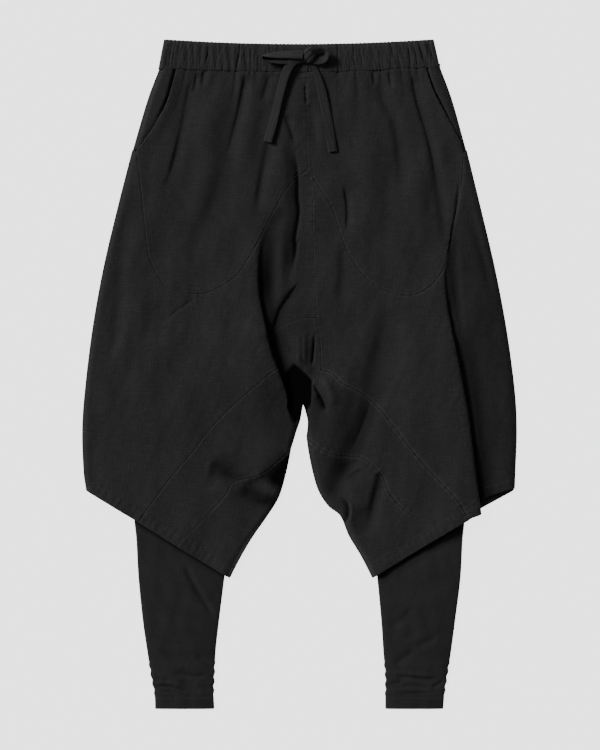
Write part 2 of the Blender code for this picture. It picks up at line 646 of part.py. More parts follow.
def make_waistband():
    """One casing all round, lying flat: a gathered front over a plain back."""
    front = [(0.016 + 0.968 * part, wave, 1.0) for part, wave in band_columns()]
    left_end = [(0.012, 0.0, 0.0), (0.003, 0.0, 0.15), (0.0, 0.0, 0.45), (0.005, 0.0, 0.85)]
    right_end = [(1 - part, wave, rise) for part, wave, rise in reversed(left_end)]
    floor = [(1 - (k + 1) / (BAND_FLOOR_COLUMNS + 1), 0.0, 0.0) for k in range(BAND_FLOOR_COLUMNS)]
    loop = [*left_end, *front, *right_end, *floor]
    waist = curve_through([*LINES["waist_left"], *LINES["waist_right"][1:]])
    mesh = bmesh.new()
    rings = []
    for row in BAND_ROWS:
        left = BAND_LEFT[0] + (BAND_LEFT[1] - BAND_LEFT[0]) * row["part"]
        right = BAND_RIGHT[0] + (BAND_RIGHT[1] - BAND_RIGHT[0]) * row["part"]
        ring = []
        for part, wave, rise in loop:
            across = left + (right - left) * part
            bow = 1 - (2 * part - 1) ** 2
            top = BAND_TOP["ends"] + (BAND_TOP["middle"] - BAND_TOP["ends"]) * bow
            bottom = np.interp(across, waist[:, 0], waist[:, 1]) - SEAM_GAP
            down = top + (bottom - top) * row["part"]
            low = BAND_WALL / 2
            height = low + (row["height"] - low) * rise + wave * row["wave"] * (rise == 1.0)
            ring.append(mesh.verts.new(place(across, down, height)))
        rings.append(ring)
    count = len(loop)
    for above, below in zip(rings, rings[1:]):
        for k in range(count):
            after = (k + 1) % count
            mesh.faces.new([above[k], above[after], below[after], below[k]])
    band = finished("waistband", mesh, "woven_cloth")
    wall = band.modifiers.new("wall", "SOLIDIFY")
    wall.thickness = BAND_WALL * MM
    wall.offset = 0.0
    wall.use_even_offset = False


def floor_under_legging(side, across, down):
    """The underside of a legging: it lies on the back of the shell and steps down past the back's hem."""
    hem = BACK_HEM_LEFT[::-1] if side == "left" else BACK_HEM_RIGHT[::-1]
    past = down - np.interp(across, [p[0] for p in hem], [p[1] for p in hem])
    return LEGGING_HELD * float(1 - smooth_step((past - 7) / 22))


def legging_ring(side, row):
    """One section of a legging lying flat: a level underside, rounded edges and a low arched top."""
    left, right = LEGGING_EDGES[side]
    slant = row["slant"] * (1 if side == "left" else -1)
    ring = []
    for k in range(LEGGING_AROUND):
        angle = 2 * math.pi * k / LEGGING_AROUND
        part, lift = math.cos(angle), math.sin(angle)
        down = row["down"] + slant * part * 68.0
        ends = [np.interp(down, [p[1] for p in edge], [p[0] for p in edge]) for edge in (left, right)]
        wide = 0.5 * (ends[1] - ends[0]) - JERSEY / 2 + row["push"]
        across = 0.5 * (ends[0] + ends[1]) + wide * part
        floor = floor_under_legging(side, across, down) + JERSEY / 2
        if lift >= 0:
            height = LEGGING_EDGE + (row["height"] - JERSEY - LEGGING_EDGE) * lift**0.6
        else:
            height = LEGGING_EDGE * max(0.0, 1 + lift / 0.3)
        ring.append((across, down, floor + height))
    return ring


def make_legging(side):
    """A jersey tube, lofted through its sections."""
    mesh = bmesh.new()
    rings = [[mesh.verts.new(place(*point)) for point in legging_ring(side, row)] for row in LEGGING_ROWS]
    for above, below in zip(rings, rings[1:]):
        for k in range(LEGGING_AROUND):
            after = (k + 1) % LEGGING_AROUND
            mesh.faces.new([above[k], above[after], below[after], below[k]])
    tube = finished(f"legging_{side}", mesh, "jersey_cloth")
    wall = tube.modifiers.new("wall", "SOLIDIFY")
    wall.thickness = JERSEY * MM
    wall.offset = 0.0


def cloth_height(across, down):
    """The top of the cloth under the drawstring: the waistband above its seam, the yokes below it."""
    seam = 48.0
    if down < seam:
        part = min(max((down - 5.0) / (seam - 5.0), 0), 1)
        return float(np.interp(part, [row["part"] for row in BAND_ROWS],
                               [row["height"] + row["wave"] * 0.7 for row in BAND_ROWS])) + BAND_WALL / 2
    return float(drape([(across, down)])[0, 2]) + CLOTH / 2


def make_tape(name, stations):
    """A flat tape along its stations, turned over where the table says, with square ends."""
    middle = curve_through([
        (row["across"], row["down"], cloth_height(row["across"], row["down"]) + row["lift"])
        for row in stations
    ], 2)
    at = np.linspace(0, len(stations) - 1, len(middle))
    turns = np.interp(at, range(len(stations)), [row["turn"] for row in stations])
    halves = np.interp(at, range(len(stations)), [row.get("wide", 1.0) for row in stations]) * TAPE_WIDTH / 2
    mesh = bmesh.new()
    rings = []
    points = [place(*point) for point in middle]
    for k, (point, turn, half) in enumerate(zip(points, turns, halves)):
        ahead = (points[min(k + 1, len(points) - 1)] - points[max(k - 1, 0)]).normalized()
        side = tape_side(name, ahead, math.radians(turn))
        up = side.cross(ahead)
        rings.append([
            mesh.verts.new(point + side * a * half * MM + up * b * TAPE_THICK / 2 * MM)
            for a, b in ((-1, -1), (1, -1), (1, 1), (-1, 1))
        ])
    for first, second in zip(rings, rings[1:]):
        for k in range(4):
            mesh.faces.new([first[k], first[(k + 1) % 4], second[(k + 1) % 4], second[k]])
    mesh.faces.new(rings[0])
    mesh.faces.new(rings[-1][::-1])
    return finished(name, mesh, "drawstring_tape")


def tape_side(name, ahead, turn):
    """The direction of the tape's width: turned up from level, or leaning down the trousers on the left loop."""
    if name == "drawstring_loop_left":
        lean = Vector((0, -math.cos(turn), math.sin(turn)))
        return (lean - ahead * ahead.dot(lean)).normalized()
    return Matrix.Rotation(turn, 3, ahead) @ ahead.cross(Vector((0, 0, 1))).normalized()


def make_knot():
    """The knot of the bow: a rounded lump, a little pinched in the middle."""
    mesh = bmesh.new()
    bmesh.ops.create_uvsphere(mesh, u_segments=14, v_segments=9, radius=0.5)
    for vert in mesh.verts:
        pinch = 1 - 0.12 * math.exp(-((vert.co.y / 0.16) ** 2))
        vert.co = Vector((vert.co.x * KNOT["size"][0] * pinch, vert.co.y * KNOT["size"][1],
                          vert.co.z * KNOT["size"][2])) * MM
    bmesh.ops.translate(mesh, verts=mesh.verts, vec=place(KNOT["across"], KNOT["down"], KNOT["height"]))
    finished("drawstring_knot", mesh, "drawstring_tape")


def main():
    for old in list(bpy.data.objects):
        bpy.data.objects.remove(old)
    trousers = bpy.data.collections.new("harem_trousers")
    bpy.context.scene.collection.children.link(trousers)
    make_front()
    make_facings()
    make_backs()
    make_waistband()
    for side in LEGGING_EDGES:
        make_legging(side)
    make_knot()
    for name, stations in TAPES.items():
        make_tape(name, stations)


main()
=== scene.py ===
"""Looks of the harem trousers, laid flat: woven shell, gathered waistband, drawstring and jersey leggings.

Every sheet is drawn flat in millimetres, as a cutter would draw it: `across` runs from the centre line to
the right as seen from above, `down` from the top of the waistband to the legging hems. drape() says where
each flat point of the front lies once the trousers are laid out. The floor is z = 0.
"""

import math
import random

import bpy
import numpy as np
from mathutils import Matrix, Vector
from mathutils.geometry import delaunay_2d_cdt
from mathutils.kdtree import KDTree


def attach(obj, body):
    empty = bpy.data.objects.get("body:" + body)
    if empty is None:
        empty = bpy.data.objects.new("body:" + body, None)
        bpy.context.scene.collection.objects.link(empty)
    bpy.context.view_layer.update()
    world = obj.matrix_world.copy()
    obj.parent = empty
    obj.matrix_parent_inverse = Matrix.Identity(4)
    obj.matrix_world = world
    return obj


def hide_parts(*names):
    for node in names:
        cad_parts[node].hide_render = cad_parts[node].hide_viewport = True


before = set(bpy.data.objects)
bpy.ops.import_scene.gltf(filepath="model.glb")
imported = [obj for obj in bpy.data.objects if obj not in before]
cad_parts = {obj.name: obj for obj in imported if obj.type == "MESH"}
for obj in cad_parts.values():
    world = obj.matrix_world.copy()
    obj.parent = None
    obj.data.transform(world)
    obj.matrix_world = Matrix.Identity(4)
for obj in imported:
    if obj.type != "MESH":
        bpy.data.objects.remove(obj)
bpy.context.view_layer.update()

# Driving sizes, in millimetres. MM turns them into the frame's metres.
MM = 0.001
# The place in the layout that lies over the middle of the frame.
MIDDLE = dict(across=-0.5, down=500.75)
# The thickness of each cloth, of the casing with its elastic and of the tape, and the gap between two
# pieces at a seam. RIM_ROUND is how far a cut rim stands out, as a part of the cloth's thickness.
CLOTH = 1.2
JERSEY = 1.0
BAND_WALL = 1.6
SEAM_GAP = 0.12
TAPE_WIDTH = 13.5
TAPE_THICK = 1.5
RIM_ROUND = 0.12

# How the front wall lies over the back wall: the height of the middle of the wall at its edge, how much
# higher it lies inside, how wide the roll between them is, and how far from the edge the creases and the
# sewing fade away. FAR stands for a distance out of reach of all these.
EDGE_HEIGHT = 2.0
LOFT = 4.8
EDGE_ROLL = 9.0
RELIEF_FADE = 17.0
SEWN_FADE = 6.0
FAR = 99.0

# Spacing of the points that each sheet is built from: along seams; along folds, how far apart the rows are,
# how far past the fold they go, and how little of it may have opened; along the creases that are sharper
# than `below`, in rows at parts of their width; beside rolled edges, seams and hems, in rows at these
# distances; and the lattices of the gathered yokes below the waist, of the crotch hollow and of all the
# rest. Each kind keeps clear of those before it, and all of them of a piece's own outline.
SEAM_STEP = 2.6
FOLD_ROWS = dict(step=2.6, apart=1.7, past=4, opened=0.03, clear=1.15)
CREASE_ROWS = dict(step=1.8, below=4.0, parts=(0.45, 0.9, 1.5, 2.2), most=9, clear=0.7)
ROLL_ROWS = dict(step=3.0, gaps=(1.5, 3.5, 6.0, 9.0))
SEAM_ROWS = dict(step=2.8, gaps=(1.2, 2.6, 4.6, 7.2))
SEAM_CLEAR = 1.0
HEM_ROWS = dict(step=2.6, gaps=(2, 5, 8.5, 12, 14, 16, 18.5), sides=(1, -1))
HEM_CLEAR = 1.4
FRONT_CLEAR = 1.0
GRIDS = (
    (dict(low=(-215, 45), high=(215, 84), step=1.9, squash=1.5), 1.3),
    (dict(low=(-50, 470), high=(50, 560), step=2.0), 1.5),
    (dict(low=(-335, 42), high=(335, 812), step=3.4), 2.2),
)

# The camera: how far right of the middle it stands, its lens and sensor in millimetres, and the height of
# its view in metres. The lamp and the sky: directions and spread in degrees.
CAMERA = dict(across=0.75, lens=100.0, sensor=36.0, view=1.125)
KEY = dict(turn=150.0, rise=31.0, spread=18.0, strength=4.5, colour=(1.0, 0.993, 0.985))
SKY = dict(colour=(0.97, 0.985, 1.0), strength=0.22)

# Seam and edge lines, as (across, down). Each is a smooth curve through its points.
LINES = {
    "waist_left": [(-185, 43), (-140, 45), (-89, 46), (9, 47.5)],
    "waist_right": [(9, 47.5), (98, 45.5), (150, 42.5), (189, 41)],
    "side_left_high": [(-211, 41), (-229, 89), (-251, 164)],
    "side_right_high": [(211, 40), (229, 89), (250, 164)],
    "side_left": [(-251, 164), (-274, 254), (-295, 344), (-311, 434), (-322, 524), (-326, 584), (-324, 644),
                  (-320, 674)],
    "side_right": [(250, 164), (272, 254), (293, 344), (310, 434), (322, 524), (325, 584), (323, 644),
                   (322, 670)],
    "pocket_left": [(-185, 43), (-193, 73), (-199, 92), (-209, 112), (-221, 133), (-245, 166)],
    "pocket_right": [(189, 41), (199, 73), (208, 91), (224, 120), (239, 149), (245, 167)],
    "tip_left": [(-251, 164), (-245, 166)],
    "tip_right": [(245, 167), (250, 164)],
    "centre_high": [(9, 47.5), (10, 89), (10, 149), (12, 194)],
    "centre_low": [(12, 194), (19, 232), (20, 287), (25, 415)],
    "centre_crotch": [(25, 415), (31, 457), (32, 493)],
    "crotch": [(32, 493), (22, 527), (5, 545)],
    "yoke_seam_left": [(-245, 166), (-239, 209), (-230, 296), (-223, 331), (-203, 365), (-176, 377),
                       (-146, 379), (-121, 370), (-95, 352), (-77, 326), (-59, 292), (-43, 262), (-25, 230),
                       (-10, 209), (12, 194)],
    "yoke_seam_right": [(12, 194), (31, 223), (49, 253), (65, 301), (80, 331), (100, 356), (127, 374),
                        (161, 382), (187, 374), (208, 352), (221, 313), (230, 265), (241, 226), (245, 167)],
    "diagonal_left": [(25, 415), (10, 415.5), (-8, 419), (-22, 425), (-34, 431), (-42, 442), (-44, 458),
                      (-42, 472), (-41, 484), (-46, 498), (-59, 511), (-95, 542), (-130, 577), (-164, 620),
                      (-199, 662), (-242, 721)],
    "diagonal_right": [(32, 493), (49, 499), (65, 514), (91, 527), (118, 550), (143, 581), (173, 620),
                       (208, 659), (236, 689), (252, 718)],
    "inseam_left_high": [(5, 545), (3.5, 552), (1, 566), (-5, 584), (-13, 610)],
    "inseam_left_low": [(-13, 610), (-20, 644), (-31, 682), (-49, 712), (-70, 742), (-88, 772), (-105, 805)],
    "inseam_right_high": [(5, 545), (7.5, 552), (11.5, 566), (12, 578), (10, 593)],
    "inseam_right_low": [(10, 593), (13, 614), (19, 644), (28, 674), (43, 697), (61, 712), (74, 742),
                         (92, 772), (109, 805)],
    "inner_seam_left": [(-13, 610), (-24, 622), (-37, 633), (-51, 645), (-66, 652), (-82, 656), (-98, 660),
                        (-105, 668), (-110, 678), (-121, 692), (-137, 708), (-184, 757)],
    "inner_seam_right": [(10, 593), (26, 608), (49, 620), (74, 623), (95, 626), (122, 650), (133, 676),
                         (148, 695), (161, 706), (200, 730), (212, 742)],
    "hem_left_outer": [(-320, 674), (-242, 721)],
    "hem_left_middle": [(-242, 721), (-184, 757)],
    "hem_left_inner": [(-184, 757), (-105, 805)],
    "hem_right_inner": [(212, 742), (109, 805)],
    "hem_right_middle": [(252, 718), (212, 742)],
    "hem_right_outer": [(322, 670), (280, 685), (267, 706), (252, 718)],
}

# The front pieces of the shell: the lines round each, a minus turning one round.
PIECES = {
    "yoke_left": ("waist_left", "centre_high", "-yoke_seam_left", "-pocket_left"),
    "yoke_right": ("waist_right", "pocket_right", "-yoke_seam_right", "-centre_high"),
    "leg_left": ("yoke_seam_left", "centre_low", "diagonal_left", "-hem_left_outer", "-side_left",
                 "tip_left"),
    "leg_right": ("yoke_seam_right", "tip_right", "side_right", "hem_right_outer", "-diagonal_right",
                  "-centre_crotch", "-centre_low"),
    "gusset_left": ("diagonal_left", "hem_left_middle", "-inner_seam_left", "-inseam_left_high", "-crotch",
                    "-centre_crotch"),
    "gusset_right": ("diagonal_right", "hem_right_middle", "-inner_seam_right", "-inseam_right_high",
                     "-crotch"),
    "inner_leg_left": ("inner_seam_left", "hem_left_inner", "-inseam_left_low"),
    "inner_leg_right": ("inner_seam_right", "hem_right_inner", "-inseam_right_low"),
}
# The edges where the front rolls over to the back, and the hems.
ROLLED = (
    ("side_left_high", "side_left"),
    ("side_right_high", "side_right"),
    ("inseam_left_high", "inseam_left_low"),
    ("inseam_right_high", "inseam_right_low"),
)
HEMS = ("hem_left_outer", "hem_left_middle", "hem_left_inner", "hem_right_inner", "hem_right_middle",
        "hem_right_outer")

# Folds where the cloth on the left laps over the cloth on its right: the middle of each fold, half its
# width, how far the cloth swings either way, its height, how far it fades at either end, how far the lift
# spreads to the left, how deep and how wide the hollow is on its right, and how much painted shade darkens
# the cloth in that hollow, over how wide a strip, coming on over how far from its top. SHADE_END is how
# far from the fold's foot that painted shade fades out.
FOLDS = {
    "crotch": dict(line=[(-26, 262), (-44, 275), (-54, 292), (-61, 325), (-62, 376), (-55, 426), (-48, 465),
                         (-33, 508), (-20, 545), (-16, 566)],
                   half=12.0, swing=11.5, height=9.5, fade=(270, 40), lift_fade=(250, 100), spread=60.0,
                   hollow=4.6, reach=40.0, shade=(2.0, 12.0, 130.0)),
    "side": dict(line=[(238, 228), (231, 268), (223, 313), (217, 348), (221, 400), (237, 496), (249, 569),
                       (258, 646), (266, 706), (270, 730)],
                 half=10.0, swing=9.0, height=5.8, fade=(360, 0), lift_fade=(340, 0), spread=60.0,
                 hollow=4.6, reach=30.0, shade=(0.9, 14.0, 250.0)),
    "tuck": dict(line=[(2, 360), (-19, 380), (-33, 403), (-41, 430), (-45, 455)],
                 half=4.0, swing=3.2, height=2.8, fade=(34, 20), lift_fade=(34, 20), spread=13.0,
                 hollow=1.6, reach=9.0, shade=(0.6, 5.0, 30.0)),
}
SHADE_END = 25.0

# Soft ridges (plus) and troughs (minus): the line along each, its width to the left and to the right of
# the line going down, and its height. `ends` is the part of its length over which each end fades, and
# `edge` is how far from the trousers' own edge it fades, where these aren't as the others are. The
# painted-shade amount, where a row has one, darkens the cloth along it as painted shade; below zero, it is a
# painted highlight that makes the cloth paler than the rest. CREASE_REACH is how many widths away a crease
# still shows.
CREASE_REACH = 2.6
CREASE_ENDS = (0.3, 0.3)
CREASES = (
    # the left yoke, from the waist down
    dict(line=[(-163, 56), (-168, 85), (-171, 98), (-174, 118), (-181, 150), (-191, 190), (-206, 236)],
         width=(3.2, 9), height=-3.6, ends=(0.15, 0.4)),
    dict(line=[(-81, 50), (-88, 90), (-96, 125), (-112, 185)], width=(3, 8), height=-4.6, ends=(0.1, 0.5)),
    dict(line=[(-95, 120), (-107, 180), (-129, 250), (-151, 300), (-174, 352)], width=(14, 24),
         height=-3.0),
    dict(line=[(-46, 135), (-49, 165), (-56, 200), (-62, 240), (-64, 262)], width=(4, 9), height=-5.4),
    dict(line=[(-43, 48), (-49, 66), (-56, 92)], width=(3, 6), height=-3.0),
    dict(line=[(-23, 108), (-14, 132), (-6, 158)], width=(3, 6), height=-3.0),
    dict(line=[(-154, 45), (-156, 62), (-160, 80)], width=(2, 4), height=-2.8),
    dict(line=[(-144, 45), (-145, 56), (-146, 68)], width=(2, 4), height=-2.6),
    dict(line=[(-128, 60), (-139, 180), (-168, 300)], width=(16, 20), height=2.6),
    dict(line=[(-68, 60), (-78, 150), (-96, 240)], width=(12, 14), height=2.2),
    dict(line=[(-200, 150), (-222, 300)], width=(16, 16), height=1.6),
    # the left leg
    dict(line=[(-232, 360), (-260, 450), (-284, 515)], width=(15, 22), height=1.8),
    dict(line=[(-252, 225), (-266, 320), (-275, 430), (-292, 530)], width=(8, 10), height=-2.2),
    dict(line=[(-205, 422), (-180, 402), (-150, 382)], width=(2.4, 2.4), height=-0.8),
    dict(line=[(-190, 400), (-200, 620)], width=(60, 60), height=3.4),
    dict(line=[(-115, 420), (-120, 560)], width=(40, 40), height=2.2),
    # the right yoke
    dict(line=[(169, 50), (172.5, 76), (177.5, 98), (184, 118), (194, 153), (203, 193), (208, 222)],
         width=(2.6, 8), height=-5.6, ends=(0.1, 0.5)),
    dict(line=[(186, 128), (194, 153), (203, 193), (210, 235), (217, 286), (222, 320)], width=(6, 9),
         height=-4.4, ends=(0.35, 0.35)),
    dict(line=[(119, 50), (124, 85), (139, 115), (148, 158), (151, 201), (148, 232)], width=(5.5, 11),
         height=-3.8, ends=(0.1, 0.35)),
    dict(line=[(133, 45), (135, 58), (137, 72)], width=(2, 4), height=-2.8),
    dict(line=[(109, 46), (110, 56), (112, 68)], width=(2, 4), height=-2.6),
    dict(line=[(66, 215), (70.5, 242), (71.5, 264), (70, 288)], width=(2.4, 6), height=-4.0),
    dict(line=[(66, 300), (62, 405)], width=(6, 12), height=-2.6),
    dict(line=[(15, 85), (20, 120), (27, 165)], width=(9, 5), height=-2.6),
    dict(line=[(8, 62), (8.5, 78), (10, 98)], width=(1.8, 2.4), height=-2.6),
    dict(line=[(100, 70), (106, 210), (116, 330)], width=(20, 20), height=2.6),
    dict(line=[(172, 150), (180, 240), (184, 330)], width=(13, 13), height=2.2),
    # the right leg
    dict(line=[(139, 388), (129, 430), (120, 480), (112, 520), (104, 552)], width=(12, 24), height=-5.8),
    dict(line=[(118, 490), (107, 535), (97, 573), (85, 606), (77, 622), (66, 645), (58, 664)],
         width=(11, 16), height=-6.6, ends=(0.3, 0.15), painted_shading=0.9),
    dict(line=[(107, 532), (97, 563), (88, 586), (78, 607), (70, 624)], width=(9, 2.8), height=-4.4,
         painted_shading=1.7, ends=(0.3, 0.3)),
    dict(line=[(80, 500), (66, 550), (52, 600), (44, 640), (40, 684)], width=(22, 22), height=0, painted_shading=0.6),
    dict(line=[(72, 612), (64, 634), (56, 654), (50, 672), (45, 692)], width=(11, 9), height=-3.2, edge=7.0,
         painted_shading=1.5, ends=(0.3, 0.25)),
    dict(line=[(190, 560), (196, 720)], width=(50, 40), height=0, painted_shading=0.4),
    dict(line=[(150, 380), (170, 600)], width=(50, 50), height=0, painted_shading=0.12),
    dict(line=[(98, 400), (80, 474), (52, 572), (30, 655)], width=(32, 20), height=3.0),
    dict(line=[(180, 410), (176, 500), (150, 610)], width=(22, 30), height=3.0),
    dict(line=[(240, 203), (236, 240), (228, 290), (219, 335)], width=(2.2, 2.2), height=-3.4),
    dict(line=[(240, 260), (243, 352), (250, 440), (264, 560), (276, 700)], width=(5, 60), height=3.4),
    dict(line=[(246, 220), (250, 300), (258, 400), (270, 560), (280, 740)], width=(16, 42), height=0,
         painted_shading=0.85, ends=(0.2, 0.1)),
    dict(line=[(237, 400), (253, 496), (265, 569), (274, 646), (282, 712)], width=(6, 14), height=0,
         painted_shading=0.8, ends=(0.2, 0.05)),
    dict(line=[(231, 256), (228, 290), (227, 330), (230, 380), (240, 440)], width=(3.5, 8), height=-1.6,
         painted_shading=1.2, ends=(0.2, 0.4)),
    dict(line=[(292, 330), (312, 440), (322, 560), (318, 690)], width=(34, 30), height=0, painted_shading=0.3),
    dict(line=[(252, 240), (265, 285), (278, 330), (292, 400)], width=(8, 10), height=-3.6),
    # the middle and the crotch
    dict(line=[(-10, 150), (-6, 180), (-3.5, 209), (-3.5, 235), (-1.5, 256), (-4, 275), (-7.5, 298),
               (-6.5, 311), (-9, 330), (-13, 356)], width=(4.8, 2.6), height=-4.4, ends=(0.3, 0.25),
         painted_shading=3.4),
    dict(line=[(-16, 130), (-11, 180), (-9, 209), (-8, 250), (-8, 263), (-13, 298), (-13, 330), (-20, 372)],
         width=(9, 5), height=-4.0, ends=(0.3, 0.25), painted_shading=0.9),
    dict(line=[(-6, 308), (-1, 298), (3, 296)], width=(2, 2.5), height=-1.6, ends=(0.05, 0.6), painted_shading=0.8),
    dict(line=[(-14, 256), (-31, 264), (-43, 282), (-49, 320), (-49, 400)], width=(9, 12), height=-3.8,
         painted_shading=0.9, ends=(0.1, 0.3)),
    dict(line=[(-28, 290), (-28, 345), (-33, 392)], width=(9, 10), height=2.4),
    dict(line=[(12, 194), (19, 232), (20, 287), (25, 415)], width=(1.6, 1.6), height=0, painted_shading=-0.45,
         ends=(0.1, 0.1)),
    dict(line=[(-30, 270), (-30, 340), (-36, 420)], width=(20, 24), height=0, painted_shading=0.3),
    dict(line=[(-34, 430), (-28, 480), (-16, 520)], width=(12, 16), height=0, painted_shading=0.3),
    dict(line=[(12, 370), (12, 440), (6, 505)], width=(30, 24), height=0, painted_shading=0.8, ends=(0.4, 0.2)),
    dict(line=[(-20, 400), (-14, 470)], width=(16, 20), height=-2.6),
    dict(line=[(-2, 430), (-1, 462), (-1, 494)], width=(4, 5), height=2.6),
    dict(line=[(7, 428), (7, 462), (7, 492)], width=(3, 4), height=2.2),
    dict(line=[(22, 440), (21.5, 462), (18.5, 488)], width=(2.1, 1.0), height=-11.5, ends=(0.4, 0.25)),
    dict(line=[(19, 512), (28, 527), (35, 541), (41, 556)], width=(2.4, 1.5), height=-10.0, painted_shading=1.5),
    dict(line=[(28, 528), (34, 539), (40, 556)], width=(5.5, 2.0), height=-7.0, painted_shading=1.0),
    dict(line=[(-24, 500), (-26, 545), (-44, 620)], width=(26, 22), height=0, painted_shading=1.0, ends=(0.25, 0.4),
         edge=1.0),
    dict(line=[(20, 512), (24, 550), (16, 600)], width=(14, 18), height=0, painted_shading=1.0, ends=(0.3, 0.3),
         edge=1.0),
    dict(line=[(30, 500), (43, 520), (52, 552)], width=(6, 8), height=4.0),
    dict(line=[(-20, 470), (-8, 476), (22, 500)], width=(9, 5), height=3.0),
    dict(line=[(-30, 436), (-18, 450), (-12, 470)], width=(3, 3), height=-1.6),
    dict(line=[(-20, 432), (-10, 444), (-5, 462)], width=(3, 3), height=1.2),
    # above the hems, and where the cloth stands over the leggings
    dict(line=[(-76, 657), (-96, 650), (-110, 646), (-120, 646), (-128, 656), (-130, 676)], width=(12, 15),
         height=-4.0, ends=(0.3, 0.4)),
    dict(line=[(-130, 616), (-122, 638), (-108, 656)], width=(15, 22), height=0, painted_shading=1.2),
    dict(line=[(-122, 641), (-102, 651), (-86, 653), (-66, 648)], width=(10, 7), height=0, painted_shading=1.5),
    dict(line=[(-6, 620), (-20, 642), (-32, 656), (-46, 674)], width=(19, 16), height=0, painted_shading=3.7,
         ends=(0.15, 0.3)),
    dict(line=[(-94, 666), (-72, 677), (-44, 687), (-30, 690)], width=(13, 9), height=0, painted_shading=2.0,
         ends=(0.25, 0.1)),
    dict(line=[(-84, 648), (-104, 638), (-120, 631), (-131, 630), (-136, 640), (-136, 662)], width=(4, 5),
         height=1.6),
    dict(line=[(-16, 624), (-38, 643), (-58, 658), (-92, 676)], width=(6, 12), height=-4.6, edge=3.0,
         painted_shading=0.4),
    dict(line=[(-14, 628), (-24, 640), (-34, 652), (-46, 664)], width=(9, 12), height=-4.0, edge=3.0,
         ends=(0.1, 0.3)),
    dict(line=[(-84, 664), (-76, 686), (-60, 693), (-34, 693)], width=(16, 4), height=-4.6, edge=5.0,
         painted_shading=0.5),
    dict(line=[(-58, 676), (-32, 682)], width=(6, 6), height=1.6, edge=5.0),
    dict(line=[(-53, 712), (-74, 742), (-92, 772), (-109, 803)], width=(4.5, 4.5), height=0, painted_shading=-1.7,
         ends=(0.3, 0.12)),
    dict(line=[(-70, 690), (-66, 730), (-76, 770)], width=(22, 10), height=-2.0, painted_shading=0.3),
    dict(line=[(123, 644), (120, 655), (113, 681), (108, 704), (104, 728), (99, 748)], width=(5, 9),
         height=-5.4, painted_shading=1.0, ends=(0.1, 0.4)),
    dict(line=[(121, 650), (116, 664), (110, 682), (104, 704), (100, 716)], width=(6, 3.6), height=0,
         painted_shading=0.8, ends=(0.3, 0.4)),
    dict(line=[(104, 694), (97, 720), (91, 748)], width=(14, 7), height=-3.2, painted_shading=0.4),
    dict(line=[(128, 655), (123, 700), (118, 745)], width=(5, 8), height=0.6),
    dict(line=[(60, 684), (68, 689), (73, 699), (72.5, 712), (67, 722)], width=(5, 2.0), height=-5.0,
         edge=1.5, ends=(0.4, 0.1), painted_shading=2.0),
    dict(line=[(76, 690), (77.5, 704), (76, 724)], width=(2.4, 3), height=0.8, edge=3.0),
    dict(line=[(62, 646), (76, 634), (92, 627)], width=(3, 3), height=-2.4),
    dict(line=[(66, 655), (82, 644), (94, 638)], width=(3, 3), height=2.0),
    dict(line=[(84, 650), (78, 720)], width=(12, 12), height=2.4),
    dict(line=[(-310, 634), (-20, 812)], width=(54, 54), height=4.6, edge=7.0),
    dict(line=[(310, 634), (20, 812)], width=(54, 54), height=2.6, edge=7.0),
    # the lips of the pocket mouths
    dict(line=[(-183, 40), (-197, 92), (-216, 133), (-250, 172)], width=(6, 8), height=1.3),
    dict(line=[(187, 40), (206, 91), (236, 149), (250, 174)], width=(6, 6), height=1.8),
)

# Hollows with sharp sides: the corners round each, as across, down and how softly the side from that corner
# to the next one falls, the height of its bottom, and how much painted shade darkens its cloth.
HOLLOWS = (
    dict(corners=[(-31, 512, 12), (-26, 496, 10), (-10, 480, 4), (11, 497, 3.5), (20.5, 508, 3),
                  (19, 545, 4), (9, 562, 5), (-10, 580, 7)], floor=1.9, floor_shade=3.25),
)

# Fine unevenness of washed woven cloth: wave length across and along the grain, and height.
RUMPLE = (
    dict(seed=3, across=80.0, along=150.0, height=0.5),
    dict(seed=4, across=30.0, along=44.0, height=0.13),
    dict(seed=6, across=11.0, along=14.0, height=0.09),
)

# Waistband: the line of its top edge, with the size of its ruffles; the left and right ends of its top
# and of its foot; the height of the middle of its wall, and how much of the gathers shows, at parts of
# the way down; how its round ends rise from the floor, at parts of the way across; and how far in its
# flat middle starts. It was cut BAND_FULLNESS times as long as it lies. BAND_SPAN is about how wide it
# lies, and BAND_FOOT how deep.
BAND_TOP = dict(ends=-1.6, middle=5.4, ruffle=0.25)
BAND_LEFT = (-203.0, -211.5)
BAND_RIGHT = (200.0, 209.5)
BAND_ROWS = (
    dict(part=0.0, height=4.0, wave=0.3),
    dict(part=0.03, height=5.8, wave=0.7),
    dict(part=0.08, height=5.9, wave=0.9),
    dict(part=0.13, height=6.8, wave=1.0),
    dict(part=0.3, height=7.2, wave=1.0),
    dict(part=0.75, height=7.2, wave=1.0),
    dict(part=0.94, height=7.0, wave=1.0),
    dict(part=1.0, height=6.1, wave=0.5),
)
BAND_END = (
    dict(part=0.0125, rise=0.0),
    dict(part=0.007, rise=0.04),
    dict(part=0.003, rise=0.15),
    dict(part=0.0008, rise=0.3),
    dict(part=0.0, rise=0.45),
    dict(part=0.0012, rise=0.65),
    dict(part=0.005, rise=0.85),
    dict(part=0.010, rise=0.96),
)
BAND_MARGIN = 0.016
BAND_FULLNESS = 1.3
BAND_SPAN = 420.0
BAND_FOOT = 48.0
# How many columns of points its front and its floor have, and how many rows.
BAND_COLUMNS = 430
BAND_FLOOR_COLUMNS = 60
BAND_DOWN = 30

